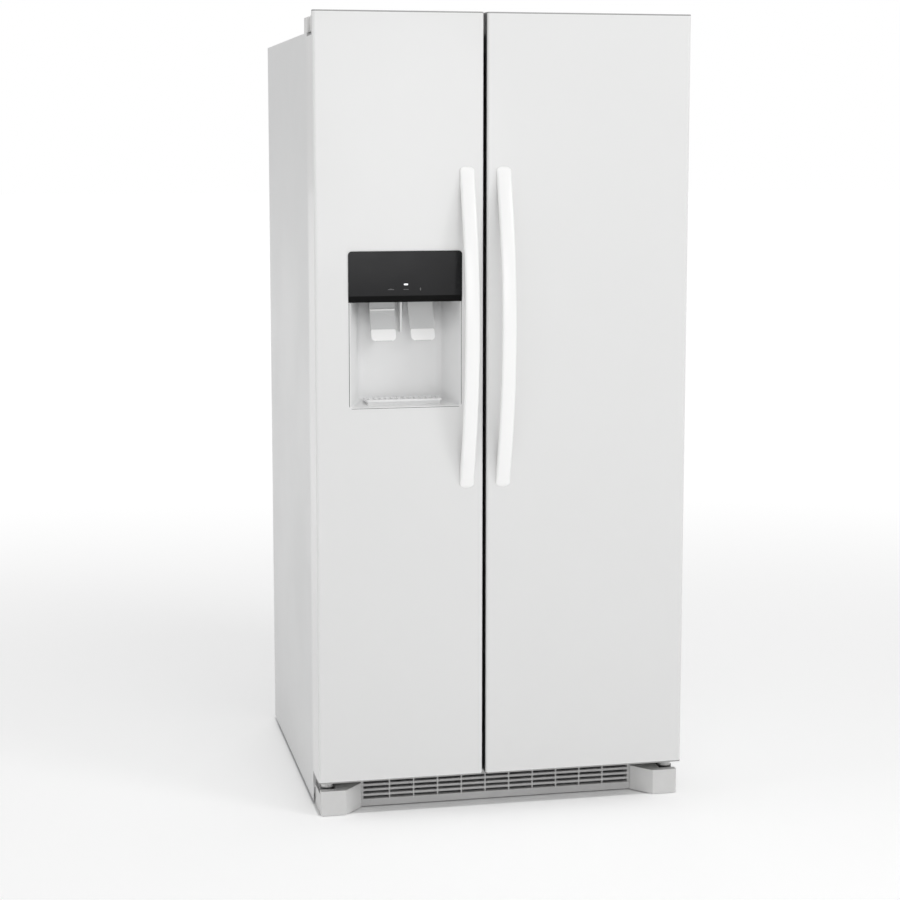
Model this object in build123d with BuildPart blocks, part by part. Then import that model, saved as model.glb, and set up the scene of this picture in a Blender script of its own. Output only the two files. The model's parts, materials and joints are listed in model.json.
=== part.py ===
from build123d import *
import os

os.makedirs("parts", exist_ok=True)

# A side by side refrigerator: freezer on the left, fresh food on the right.
# Millimetres. X to the right, the doors face -Y, +Z up.
# Origin on the floor, under the middle of the whole object.

# ---- whole object
overall_width = 841.4
overall_depth = 889.0
overall_height = 1774.8

# ---- layers from front to back
handle_stand = 64.0
door_thick = 92.0
seal_gap = 12.0
rear_spacer = 8.0

# ---- doors
door_gap = 8.0
split_x = -44.0
door_bottom = 79.0
door_corner = 6.0
door_sheet = 1.0
cap_wall = 3.0
door_liner_wall = 3.0
lip_depth = 18.0
notch_width = 98.0
notch_drop = 49.0

# ---- cabinet
side_inset = 1.7
top_drop = 43.0
side_bottom = 9.0
flange_bottom = 40.0
steel = 1.0
liner_wall = 3.0
wall_side = 48.0
wall_back = 50.0
wall_top = 50.0
mullion_width = 54.0
deck_z = 84.0
deck_sheet = 2.0
inner_floor = 124.0
rail_bottom = 68.0
pan_z = 24.0
machine_depth = 246.0
machine_top = 236.0
step_foam = 40.0

# ---- hinges
pin_radius = 6.0
pin_clearance = 0.1
pin_from_side = 24.0
pin_from_front = 45.0
bush_radius = 11.0
bush_length = 24.0
bracket_sheet = 5.0
arm_radius = 15.5
lower_arm_z = 50.0
lower_arm_thick = 11.0
cam_radius = 13.0
cam_gap = 0.6
hinge_cover_wall = 2.5
hinge_cover_drop = 9.0
hinge_cover_radius = 22.0

# ---- gasket
gasket_width = 16.0
gasket_free = 0.4
gasket_hinge_inset = 26.0
gasket_latch_inset = 5.0
gasket_top_drop = 24.0
gasket_bottom_rise = 18.0

# ---- handles
handle_width = 32.0
handle_thick = 13.0
handle_inset = 37.0
handle_bottom = 737.0
handle_length = 707.0
handle_end = 9.0

# ---- dispenser
dispenser_x = -222.0
dispenser_width = 252.0
dispenser_bottom = 917.5
dispenser_height = 344.5
panel_height = 111.0
panel_thick = 6.0
panel_proud = 1.5
panel_band = 14.0
panel_corner = 8.0
housing_depth = 84.0
recess_depth = 76.0
recess_wall = 4.0
recess_back_width = 184.0
recess_floor_rise = 8.0
cavity_width = 216.0
cavity_height = 98.0
cavity_front = 8.0
chute_width = 64.0
chute_height = 60.0
chute_rise = 29.0
chute_wall = 3.0
hopper_depth = 115.0
hopper_drop = 10.0
hopper_lip = 24.0
paddle_offset = 43.0
paddle_width = 58.0
paddle_drop = 98.0
paddle_lean = 30.0
paddle_sheet = 3.0
paddle_pivot_rise = 11.0
paddle_pivot_depth = 56.0
paddle_axle = 2.5
tray_width = 170.0
tray_depth = 52.0
tray_thick = 6.0
tray_front = 16.0
tray_seat_inset = 4.0

# ---- toe grille and foot covers
grille_back = 44.0
grille_thick = 8.0
grille_bottom = 3.0
grille_top = 71.0
grille_lip = 16.0
grille_rows = 4
grille_row_pitch = 11.5
grille_slot = 6.5
grille_bays = 9
grille_bay = 55.7
grille_bar = 3.0
foot_front = 10.0
foot_inset = 6.2
foot_width = 56.5
foot_back_width = 97.5
foot_slant_depth = 46.0
foot_height = 58.0
foot_lift = 2.0
foot_wall = 3.0

# ---- rollers and legs
roller_radius = 24.0
roller_width = 18.0
roller_inset = 39.0
axle_radius = 4.0
front_roller_back = 62.0
rear_roller_front = 62.0
leg_radius = 5.0
leg_pad_radius = 14.0
leg_pad_thick = 8.0
leg_back = 20.0

# ---- inside fittings
fitting_gap = 5.0
shelf_front_gap = 126.5
door_fitting_reach = 118.0
bin_wall = 2.5
bin_height = 90.0
dyke_width = 20.0
dyke_depth = 66.0
swing_room = 4.0
glass_thick = 4.0
frame_bar = 14.0
wire_radius = 2.5
basket_wall = 3.0
basket_height = 128.0
drawer_height = 132.0
upper_drawer_z = 288.0
evaporator_space = 88.0
dairy_z = 1400.0
dairy_flap_height = 84.0
dairy_latch_inset = 17.0

# ---- places that follow from the sizes above
half_width = overall_width / 2
front_y = -overall_depth / 2
door_front = front_y + handle_stand
door_back = door_front + door_thick
cab_front = door_back + seal_gap
cab_back = overall_depth / 2 - rear_spacer
cab_side = half_width - side_inset
cab_top = overall_height - top_drop
inner_side = cab_side - wall_side
inner_back = cab_back - wall_back
inner_top = cab_top - wall_top
freezer_right = split_x - mullion_width / 2
fresh_left = split_x + mullion_width / 2
machine_front = cab_back - machine_depth
step_front = machine_front - step_foam
step_top = machine_top + step_foam
notch_z = overall_height - notch_drop
pin_x = half_width - pin_from_side
pin_y = door_front + pin_from_front
shelf_front = cab_front + shelf_front_gap
panel_bottom = dispenser_bottom + dispenser_height - panel_height
dispenser_top = dispenser_bottom + dispenser_height


def block(low, high, mode=Mode.ADD):
    """A box from its lowest corner to its highest, in the piece being built."""
    size = [b - a for a, b in zip(low, high)]
    with Locations(low):
        Box(*size, align=(Align.MIN, Align.MIN, Align.MIN), mode=mode)


def post(x, y, low, high, radius, mode=Mode.ADD):
    """An upright cylinder between two heights."""
    with Locations((x, y, low)):
        Cylinder(radius, high - low, align=(Align.CENTER, Align.CENTER, Align.MIN), mode=mode)


def rod_x(x, y, z, length, radius, mode=Mode.ADD):
    """A cylinder along X, centred on a point."""
    with Locations((x, y, z)):
        Cylinder(radius, length, rotation=(0, 90, 0), mode=mode)


def rod_y(x, y, z, length, radius, mode=Mode.ADD):
    """A cylinder along Y, centred on a point."""
    with Locations((x, y, z)):
        Cylinder(radius, length, rotation=(90, 0, 0), mode=mode)


def span(side, near, far):
    """Two X places on one side of the middle, lowest first."""
    return sorted((side * near, side * far))


# ======== cabinet shell

for side, word in ((-1, "left"), (1, "right")):
    with BuildPart() as side_panel:
        x0, x1 = span(side, cab_side - steel, cab_side)
        block((x0, cab_front, side_bottom), (x1, cab_back, cab_top))
        x0, x1 = span(side, inner_side, cab_side)
        block((x0, cab_front, flange_bottom), (x1, cab_front + steel, cab_top))
    side_panel.part.label = f"side_panel_{word}"
    export_step(side_panel.part, f"parts/side_panel_{word}.step")

with BuildPart() as top_panel:
    edge = cab_side - steel
    block((-edge, cab_front + steel, cab_top - steel), (edge, cab_back, cab_top))
    block((-inner_side, cab_front, inner_top), (inner_side, cab_front + steel, cab_top))
top_panel.part.label = "top_panel"
export_step(top_panel.part, "parts/top_panel.step")

# The back panel has two pressed bosses that keep the cabinet off the wall.
with BuildPart() as back_panel:
    boss_radius = 14.0
    boss_inset = 90.0
    block((-edge, cab_back - steel, machine_top), (edge, cab_back, cab_top - steel))
    for x in (-cab_side + boss_inset, cab_side - boss_inset):
        rod_y(x, cab_back + rear_spacer / 2, cab_top - boss_inset, rear_spacer, boss_radius)
back_panel.part.label = "back_panel"
export_step(back_panel.part, "parts/back_panel.step")

# The base pan is the stepped deck under the foam, the side rails and the compressor tray.
wheel_room = 4.0
wheel_x = cab_side - roller_inset
with BuildPart() as base_pan:
    rail = cab_side - steel - deck_sheet
    rail_front = cab_front + steel
    block((-rail, rail_front, deck_z), (rail, machine_front, deck_z + deck_sheet))
    block((-rail, machine_front, deck_z), (rail, machine_front + deck_sheet, machine_top))
    block(
        (-rail, machine_front, machine_top - deck_sheet),
        (rail, cab_back - steel, machine_top),
    )
    block((-rail, machine_front, pan_z), (rail, cab_back - steel, pan_z + deck_sheet))
    for side in (-1, 1):
        x0, x1 = span(side, rail, cab_side - steel)
        block((x0, rail_front, pan_z), (x1, cab_back - steel, machine_top), mode=Mode.ADD)
        block(
            (x0, rail_front, deck_z + deck_sheet),
            (x1, machine_front, machine_top),
            mode=Mode.SUBTRACT,
        )
        wheel = roller_radius + wheel_room
        x0, x1 = span(side, wheel_x - roller_width, wheel_x + roller_width)
        wheel_y = cab_back - rear_roller_front
        block(
            (x0, wheel_y - wheel, pan_z),
            (x1, wheel_y + wheel, pan_z + deck_sheet),
            mode=Mode.SUBTRACT,
        )
    block((-inner_side, cab_front, rail_bottom), (inner_side, rail_front, inner_floor))
base_pan.part.label = "base_pan"
export_step(base_pan.part, "parts/base_pan.step")

with BuildPart() as mullion_cover:
    block((freezer_right, cab_front, inner_floor), (fresh_left, cab_front + steel, inner_top))
mullion_cover.part.label = "mullion_cover"
export_step(mullion_cover.part, "parts/mullion_cover.step")


# ======== liners and foam
# Each liner is an open box with a raised floor at the back, over the machine space.

def liner_space(left, right, grow, mode):
    """A compartment's volume, grown outwards by a wall."""
    front = cab_front + steel
    block(
        (left - grow, front, step_top - grow),
        (right + grow, inner_back + grow, inner_top + grow),
        mode=mode,
    )
    block(
        (left - grow, front, inner_floor - grow),
        (right + grow, step_front + grow, step_top),
        mode=mode,
    )


compartments = (
    ("freezer_liner", -inner_side, freezer_right),
    ("fresh_food_liner", fresh_left, inner_side),
)
for label, left, right in compartments:
    with BuildPart() as liner:
        liner_space(left, right, liner_wall, Mode.ADD)
        liner_space(left, right, 0.0, Mode.SUBTRACT)
    liner.part.label = label
    export_step(liner.part, f"parts/{label}.step")

with BuildPart() as cabinet_foam:
    front = cab_front + steel
    block((-edge, front, deck_z + deck_sheet), (edge, cab_back - steel, cab_top - steel))
    block(
        (-edge, machine_front, deck_z),
        (edge, cab_back - steel, machine_top),
        mode=Mode.SUBTRACT,
    )
    for label, left, right in compartments:
        liner_space(left, right, liner_wall, Mode.SUBTRACT)
cabinet_foam.part.label = "cabinet_foam"
export_step(cabinet_foam.part, "parts/cabinet_foam.step")


# ======== toe grille and foot covers

grille_y = cab_front - grille_back
grille_half = half_width - foot_inset - foot_back_width
with BuildPart() as toe_grille:
    lip_proud = 2.0
    shelf = 3.0
    block((-grille_half, grille_y, grille_bottom), (grille_half, grille_y + grille_thick, grille_top))
    block(
        (-grille_half, grille_y - lip_proud, grille_bottom),
        (grille_half, grille_y, grille_bottom + grille_lip),
    )
    block((-grille_half, grille_y, grille_top - shelf), (grille_half, cab_front, grille_top))
    slot_length = grille_bay - grille_bar
    first_slot = grille_bottom + grille_lip + grille_slot / 2
    row_middle = first_slot + grille_row_pitch * (grille_rows - 1) / 2
    with Locations((0, grille_y + grille_thick / 2, row_middle)):
        with GridLocations(grille_bay, grille_row_pitch, grille_bays, 1):
            with Locations(*[(0, 0, (n - (grille_rows - 1) / 2) * grille_row_pitch)
                             for n in range(grille_rows)]):
                Box(slot_length, grille_thick, grille_slot, mode=Mode.SUBTRACT)
    # The end bays are shorter: what is left between the last bar and the foot cover.
    end_margin = 6.0
    end_from = grille_bay * grille_bays / 2 + grille_bar / 2
    end_length = grille_half - end_margin - end_from
    for side in (-1, 1):
        for n in range(grille_rows):
            with Locations((side * (end_from + end_length / 2), grille_y + grille_thick / 2,
                            first_slot + n * grille_row_pitch)):
                Box(end_length, grille_thick, grille_slot, mode=Mode.SUBTRACT)
toe_grille.part.label = "toe_grille"
export_step(toe_grille.part, "parts/toe_grille.step")

foot_outer = half_width - foot_inset
foot_y = door_front + foot_front


def foot_outline(side, inset):
    """Plan of a foot cover: square outside, its inner face slanting back to the grille."""
    outer = foot_outer - inset
    near = foot_outer - foot_width + inset
    far = foot_outer - foot_back_width + inset
    back = cab_front - gasket_free
    Polygon(
        (side * outer, foot_y + inset),
        (side * near, foot_y + inset),
        (side * far, foot_y + foot_slant_depth),
        (side * far, back),
        (side * outer, back),
        align=None,
    )


with BuildPart() as foot_covers:
    with BuildSketch(Plane.XY.offset(foot_lift)) as left_foot:
        foot_outline(-1, 0.0)
    with BuildSketch(Plane.XY.offset(foot_lift)) as right_foot:
        foot_outline(1, 0.0)
    extrude(amount=foot_height - foot_lift)
    fillet(foot_covers.edges().filter_by(Axis.Z).group_by(Axis.Y)[0], 2.0)
    with BuildSketch(Plane.XY.offset(foot_lift)) as left_hollow:
        foot_outline(-1, foot_wall)
    with BuildSketch(Plane.XY.offset(foot_lift)) as right_hollow:
        foot_outline(1, foot_wall)
    extrude(amount=foot_height - foot_lift - foot_wall, mode=Mode.SUBTRACT)
    # A slot in each top lets the lower hinge arm through.
    for side in (-1, 1):
        x0, x1 = span(side, pin_x - arm_radius - 2, half_width)
        block(
            (x0, pin_y - arm_radius - 2, lower_arm_z - 3),
            (x1, cab_front, foot_height),
            mode=Mode.SUBTRACT,
        )
foot_covers.part.label = "foot_covers"
export_step(foot_covers.part, "parts/foot_covers.step")


# ======== hinges

cover_top = overall_height - hinge_cover_drop
plate_depth = 46.0
plate_width = 84.0
neck_in = 20.0
neck_out = 10.0


def top_hinge_outline(side, shrink):
    """Plan of a top hinge: an eye round the pin, a neck, and a plate on the cabinet."""
    with Locations((side * pin_x, pin_y)):
        Circle(hinge_cover_radius - shrink)
    x0, x1 = span(side, pin_x - neck_in + shrink, pin_x + neck_out - shrink)
    with Locations((x0, pin_y)):
        Rectangle(x1 - x0, cab_front - pin_y + shrink + 1, align=(Align.MIN, Align.MIN))
    x0, x1 = span(side, cab_side - plate_width + shrink, cab_side - 1 - shrink)
    with Locations((x0, cab_front - 8 + shrink)):
        Rectangle(x1 - x0, plate_depth + 8 - 2 * shrink, align=(Align.MIN, Align.MIN))


bracket_margin = 6.0
with BuildPart() as top_hinge_brackets:
    for side in (-1, 1):
        with BuildSketch(Plane.XY.offset(cab_top)):
            top_hinge_outline(side, bracket_margin)
    extrude(amount=bracket_sheet)
    for side in (-1, 1):
        post(side * pin_x, pin_y, notch_z - bush_length + 2, cab_top, pin_radius)
top_hinge_brackets.part.label = "top_hinge_brackets"
export_step(top_hinge_brackets.part, "parts/top_hinge_brackets.step")

with BuildPart() as hinge_covers:
    for side in (-1, 1):
        with BuildSketch(Plane.XY.offset(cab_top + 0.2)):
            top_hinge_outline(side, 0.0)
    extrude(amount=cover_top - cab_top - 0.2)
    fillet(hinge_covers.faces().sort_by(Axis.Z)[-2:].edges(), 2.0)
    for side in (-1, 1):
        with BuildSketch(Plane.XY.offset(cab_top + 0.2)):
            top_hinge_outline(side, hinge_cover_wall)
    extrude(amount=cover_top - cab_top - 0.2 - hinge_cover_wall, mode=Mode.SUBTRACT)
hinge_covers.part.label = "hinge_covers"
export_step(hinge_covers.part, "parts/hinge_covers.step")

lower_pin_top = door_bottom + bush_length - 2
lower_arm_top = lower_arm_z + lower_arm_thick
cam_bore_gap = 0.05
cam_height = door_bottom - cam_gap - lower_arm_top - cam_bore_gap
lower_cams = []
with BuildPart() as lower_hinge_brackets:
    plate = 2.5
    for side in (-1, 1):
        x0, x1 = span(side, pin_x - arm_radius, pin_x + arm_radius)
        post(side * pin_x, pin_y, lower_arm_z, lower_arm_top, arm_radius)
        block((x0, pin_y, lower_arm_z), (x1, cab_front, lower_arm_top))
        block(
            (x0, cab_front - plate, lower_arm_z),
            (x1, cab_front, door_bottom + gasket_bottom_rise - 4),
        )
        post(side * pin_x, pin_y, lower_arm_top, lower_pin_top, pin_radius)
    # A closer cam sits on each arm, round the pin, as a solid of its own.
    for side in (-1, 1):
        ring = Cylinder(cam_radius, cam_height, mode=Mode.PRIVATE)
        ring -= Cylinder(pin_radius + cam_bore_gap, cam_height, mode=Mode.PRIVATE)
        cam_middle = lower_arm_top + cam_bore_gap + cam_height / 2
        lower_cams.append(Pos(side * pin_x, pin_y, cam_middle) * ring)
lower_hinge_solids = [*lower_hinge_brackets.part.solids(), *lower_cams]
lower_hinges = Compound(label="lower_hinges", children=lower_hinge_solids)
export_step(lower_hinges, "parts/lower_hinges.step")

# ======== rollers, their brackets and the levelling legs

front_axle_y = cab_front + front_roller_back
rear_axle_y = cab_back - rear_roller_front
fork_gap = 3.0
fork_sheet = 2.0
for label, axle_y in (("front_rollers", front_axle_y), ("rear_rollers", rear_axle_y)):
    with BuildPart() as rollers:
        for side in (-1, 1):
            rod_x(side * wheel_x, axle_y, roller_radius, roller_width, roller_radius)
        fillet(rollers.edges().filter_by(GeomType.CIRCLE), 1.5)
        for side in (-1, 1):
            rod_x(
                side * wheel_x, axle_y, roller_radius, roller_width,
                axle_radius + pin_clearance, mode=Mode.SUBTRACT,
            )
    rollers.part.label = label
    export_step(rollers.part, f"parts/{label}.step")

with BuildPart() as roller_brackets:
    fork_low = roller_radius - axle_radius - 4
    fork_half = 14.0
    inside = roller_width / 2 + fork_gap
    for side in (-1, 1):
        for axle_y in (front_axle_y, rear_axle_y):
            middle = side * wheel_x
            fork_top = deck_z
            for hand in (-1, 1):
                x0, x1 = sorted((middle + hand * inside, middle + hand * (inside + fork_sheet)))
                block((x0, axle_y - fork_half, fork_low), (x1, axle_y + fork_half, fork_top))
            block(
                (middle - inside, axle_y - fork_half, fork_top - fork_sheet),
                (middle + inside, axle_y + fork_half, fork_top),
            )
            rod_x(middle, axle_y, roller_radius, 2 * (inside + fork_sheet) + 4, axle_radius)
            x0, x1 = sorted((middle, side * rail))
            block((x0, axle_y - fork_half, fork_top - fork_sheet), (x1, axle_y + fork_half, fork_top))
roller_brackets.part.label = "roller_brackets"
export_step(roller_brackets.part, "parts/roller_brackets.step")

with BuildPart() as levelling_legs:
    for side in (-1, 1):
        leg_y = cab_front + leg_back
        post(side * wheel_x, leg_y, 0, leg_pad_thick, leg_pad_radius)
        post(side * wheel_x, leg_y, leg_pad_thick, deck_z, leg_radius)
levelling_legs.part.label = "levelling_legs"
export_step(levelling_legs.part, "parts/levelling_legs.step")


# ======== machine space: compressor, condenser, fan, cover and water valve

machine_y = (machine_front + cab_back) / 2
tray_top = pan_z + deck_sheet
compressor_x = 190.0
compressor_radius = 68.0
compressor_height = 128.0
compressor_lift = 12.0
with BuildPart() as compressor:
    post(compressor_x, machine_y, tray_top + compressor_lift,
         tray_top + compressor_lift + compressor_height, compressor_radius)
    fillet(compressor.edges().filter_by(GeomType.CIRCLE), 24.0)
    block((compressor_x - 90, machine_y - 50, tray_top + compressor_lift + 2),
          (compressor_x + 90, machine_y + 50, tray_top + compressor_lift + 6))
    for x in (-78, 78):
        for y in (-40, 40):
            post(compressor_x + x, machine_y + y, tray_top, tray_top + compressor_lift + 2, 9)
    rod_x(compressor_x + compressor_radius, machine_y, tray_top + 70, 50, 12)
compressor.part.label = "compressor"
export_step(compressor.part, "parts/compressor.step")

coil_x = -180.0
condenser_fan_x = -10.0
fan_rise = 90.0
coil_half = (90.0, 60.0)
coil_height = 140.0
with BuildPart() as condenser_coil:
    fins = 15
    low = tray_top + 8
    for n in range(fins):
        x = coil_x - coil_half[0] + n * 2 * coil_half[0] / (fins - 1)
        block(
            (x - 0.6, machine_y - coil_half[1], tray_top),
            (x + 0.6, machine_y + coil_half[1], low + coil_height),
        )
    for y in (-36, -12, 12, 36):
        for z in (24, 58, 92, 126):
            rod_x(coil_x, machine_y + y, low + z, 2 * coil_half[0] + 24, 4)
    # The fan's motor stands beside the coil on its own post.
    motor_front = condenser_fan_x - 12
    motor_length = 40.0
    rod_x(motor_front - motor_length / 2, machine_y, tray_top + fan_rise, motor_length, 20)
    post(motor_front - motor_length / 2, machine_y, tray_top, tray_top + fan_rise, 8)
condenser_coil.part.label = "condenser_coil"
export_step(condenser_coil.part, "parts/condenser_coil.step")


def fan(axis_plane, radius, blade_tilt, blades=5):
    """A hub with tilted blades, spinning about its plane's normal."""
    with BuildSketch(axis_plane) as hub_round:
        Circle(radius * 0.3)
    extrude(to_extrude=hub_round.sketch, amount=radius * 0.18, both=True)
    reach = radius * 0.62
    for n in range(blades):
        spoke = Rot(0, 0, n * 360 / blades) * Pos(reach, 0, 0) * Rot(blade_tilt, 0, 0)
        blade = Box(radius * 0.76, radius * 0.5, 2.0, mode=Mode.PRIVATE)
        add(axis_plane.location * spoke * blade)


fan_tilt = 28.0
condenser_fan_radius = 62.0
with BuildPart() as condenser_fan:
    hub_plane = Plane(
        (condenser_fan_x, machine_y, tray_top + fan_rise), x_dir=(0, 1, 0), z_dir=(1, 0, 0)
    )
    fan(hub_plane, condenser_fan_radius, fan_tilt)
condenser_fan.part.label = "condenser_fan"
export_step(condenser_fan.part, "parts/condenser_fan.step")

cover_right = 270.0
with BuildPart() as machine_cover:
    sheet = 2.0
    block((-cab_side + 8, cab_back - sheet, pan_z + 6), (cover_right, cab_back, machine_top - 3))
    middle_z = (pan_z + machine_top) / 2
    with Locations(((cover_right - cab_side) / 2, cab_back, middle_z)):
        for n in range(8):
            with Locations((0, 0, (n - 3.5) * 18)):
                with GridLocations(190, 1, 3, 1):
                    Box(150, 3 * sheet, 7, mode=Mode.SUBTRACT)
machine_cover.part.label = "machine_cover"
export_step(machine_cover.part, "parts/machine_cover.step")

valve_x = 330.0
valve_z = 110.0
inlet_radius = 5.55
inlet_length = 16.0
with BuildPart() as water_valve:
    block((valve_x - 22, cab_back - 42, valve_z - 16), (valve_x + 22, cab_back - 8, valve_z + 16))
    with Locations((valve_x - 8, cab_back - 25, valve_z + 16)):
        Cylinder(13, 34, align=(Align.CENTER, Align.CENTER, Align.MIN))
    block((valve_x - 40, cab_back - 44, tray_top), (valve_x + 40, cab_back - 42, valve_z + 60))
    rod_y(valve_x, overall_depth / 2 - inlet_length / 2, valve_z, inlet_length, inlet_radius)
water_valve.part.label = "water_valve"
export_step(water_valve.part, "parts/water_valve.step")


# ======== freezer compartment

evaporator_front = inner_back - evaporator_space
cover_sheet = 3.0
with BuildPart() as evaporator_cover:
    top_gap = 30.0
    block(
        (-inner_side, evaporator_front, step_top),
        (freezer_right, evaporator_front + cover_sheet, inner_top - top_gap),
    )
    with Locations(((freezer_right - inner_side) / 2, evaporator_front, inner_top - 120)):
        with GridLocations(60, 1, 4, 1):
            for n in range(4):
                with Locations((0, 0, -n * 14)):
                    Box(44, 4 * cover_sheet, 6, mode=Mode.SUBTRACT)
evaporator_cover.part.label = "evaporator_cover"
export_step(evaporator_cover.part, "parts/evaporator_cover.step")

freezer_mid = (freezer_right - inner_side) / 2
fan_standoff = 45.0
fan_height = 560.0
with BuildPart() as evaporator_coil:
    fins = 13
    low = step_top + 30
    high = low + 420
    y0 = evaporator_front + 18
    y1 = inner_back - 12
    half = 120.0
    for n in range(fins):
        x = freezer_mid - half + n * 2 * half / (fins - 1)
        block((x - 0.6, y0, low), (x + 0.6, y1, high))
    for n in range(8):
        rod_x(freezer_mid, (y0 + y1) / 2, low + 30 + n * 52, 2 * half + 16, 4)
    for side in (-1, 1):
        x = freezer_mid + side * half
        block((x - 4, y1 - 4, low - 30), (x + 4, inner_back, low + 30))
    # The fan's motor, on the back wall above the coil.
    motor_face = evaporator_front + fan_standoff + 11
    rod_y(freezer_mid, (motor_face + inner_back) / 2, step_top + fan_height, inner_back - motor_face, 18)
evaporator_coil.part.label = "evaporator_coil"
export_step(evaporator_coil.part, "parts/evaporator_coil.step")

evaporator_fan_radius = 54.0
with BuildPart() as evaporator_fan:
    hub_plane = Plane(
        (freezer_mid, evaporator_front + fan_standoff, step_top + fan_height),
        x_dir=(1, 0, 0),
        z_dir=(0, 1, 0),
    )
    fan(hub_plane, evaporator_fan_radius, fan_tilt)
evaporator_fan.part.label = "evaporator_fan"
export_step(evaporator_fan.part, "parts/evaporator_fan.step")

freezer_low = -inner_side + fitting_gap
freezer_high = freezer_right - fitting_gap
freezer_shelf_heights = (470.0, 740.0, 1010.0)
with BuildPart() as freezer_shelves:
    shelf_depth = evaporator_front - fitting_gap - shelf_front
    for z in freezer_shelf_heights:
        for y in (shelf_front + wire_radius, shelf_front + shelf_depth / 2,
                  evaporator_front - fitting_gap - wire_radius):
            rod_x(freezer_mid, y, z, freezer_high - freezer_low, wire_radius)
        with Locations((freezer_mid, shelf_front + shelf_depth / 2, z + wire_radius * 1.4)):
            with GridLocations(24, 1, 12, 1):
                Cylinder(wire_radius * 0.8, shelf_depth - 2 * wire_radius, rotation=(90, 0, 0))
freezer_shelves.part.label = "freezer_shelves"
export_step(freezer_shelves.part, "parts/freezer_shelves.step")


def open_box(low, high, wall, floor):
    """A tray with walls, a floor and an open top."""
    block(low, high)
    block(
        (low[0] + wall, low[1] + wall, low[2] + floor),
        (high[0] - wall, high[1] - wall, high[2] + 1),
        mode=Mode.SUBTRACT,
    )


basket_heights = (("lower", inner_floor + fitting_gap, step_front - fitting_gap),
                  ("upper", upper_drawer_z, step_front - fitting_gap))
for word, z, back in basket_heights:
    with BuildPart() as basket:
        grip = 10.0
        open_box(
            (freezer_low, shelf_front, z),
            (freezer_high, back, z + basket_height),
            basket_wall,
            basket_wall,
        )
        block((freezer_low, shelf_front - grip, z + basket_height - 26),
              (freezer_high, shelf_front, z + basket_height - 22))
        block((freezer_low, shelf_front - grip, z + basket_height - 26),
              (freezer_high, shelf_front - grip + 3, z + basket_height))
    basket.part.label = f"freezer_basket_{word}"
    export_step(basket.part, f"parts/freezer_basket_{word}.step")

ice_maker_height = 120.0
ice_maker_top = inner_top - 24
ice_maker_z = ice_maker_top - ice_maker_height
ice_bin_height = 150.0
ice_bin_gap = 34.0
ice_bin_z = ice_maker_z - ice_bin_gap - ice_bin_height
ice_maker_back = evaporator_front - fitting_gap
with BuildPart() as ice_maker:
    low_x = freezer_mid - 70
    high_x = freezer_mid + 70
    front = ice_maker_back - 250
    block((low_x, front, ice_maker_z), (high_x, ice_maker_back, ice_maker_z + 62))
    block(
        (low_x + 8, front + 44, ice_maker_z + 14),
        (high_x - 8, ice_maker_back - 10, ice_maker_z + 62),
        mode=Mode.SUBTRACT,
    )
    block((low_x, front - 2, ice_maker_z - 6), (high_x, front + 40, ice_maker_z + ice_maker_height - 24))
    block((low_x + 20, ice_maker_back - 10, ice_maker_z + 40), (high_x - 20, ice_maker_back, inner_top))
    rod_y(freezer_mid, (front + ice_maker_back) / 2, ice_maker_z + 56, ice_maker_back - front - 2, 5)
ice_maker.part.label = "ice_maker"
export_step(ice_maker.part, "parts/ice_maker.step")

arm_x = freezer_mid + 78
with BuildPart() as ice_shutoff_arm:
    arm_front = ice_maker_back - 240
    arm_z = ice_maker_z + 40
    rod_x(arm_x - 3, arm_front, arm_z, 8, 3)
    block((arm_x - 2, arm_front - 4, arm_z - 62), (arm_x + 2, arm_front + 4, arm_z + 4))
    block((arm_x - 2, arm_front - 4, arm_z - 66), (arm_x + 2, arm_front + 190, arm_z - 60))
ice_shutoff_arm.part.label = "ice_shutoff_arm"
export_step(ice_shutoff_arm.part, "parts/ice_shutoff_arm.step")

# The ice bin has a hooded spout on its front, open below, over the door's ice hopper.
bin_low = freezer_low + 8
bin_high = freezer_high - 8
ice_bin_front = shelf_front - 14
with BuildPart() as ice_bin:
    spout_wall = 3.0
    open_box(
        (bin_low, ice_bin_front, ice_bin_z),
        (bin_high, ice_maker_back, ice_bin_z + ice_bin_height),
        spout_wall,
        spout_wall,
    )
    spout_reach = 72.0
    spout_half = chute_width / 2
    spout_x = dispenser_x - paddle_offset
    spout_low = ice_bin_z + spout_wall
    block((spout_x - spout_half - spout_wall, ice_bin_front - spout_reach, spout_low),
          (spout_x + spout_half + spout_wall, ice_bin_front, spout_low + 76))
    block((spout_x - spout_half, ice_bin_front - spout_reach + spout_wall, spout_low - 1),
          (spout_x + spout_half, ice_bin_front + spout_wall, spout_low + 73), mode=Mode.SUBTRACT)
ice_bin.part.label = "ice_bin"
export_step(ice_bin.part, "parts/ice_bin.step")

auger_x = dispenser_x - paddle_offset
auger_z = ice_bin_z + 44.0
auger_radius = 30.0
with BuildPart() as ice_auger:
    start = ice_bin_front + 16
    finish = ice_maker_back - 12
    rod_y(auger_x, (start + finish) / 2, auger_z, finish - start, 6)
    turns = 9
    for n in range(turns):
        y = start + 14 + n * (finish - start - 28) / (turns - 1)
        rod_y(auger_x, y, auger_z, 3, auger_radius)
ice_auger.part.label = "ice_auger"
export_step(ice_auger.part, "parts/ice_auger.step")


# ======== fresh food compartment

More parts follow.
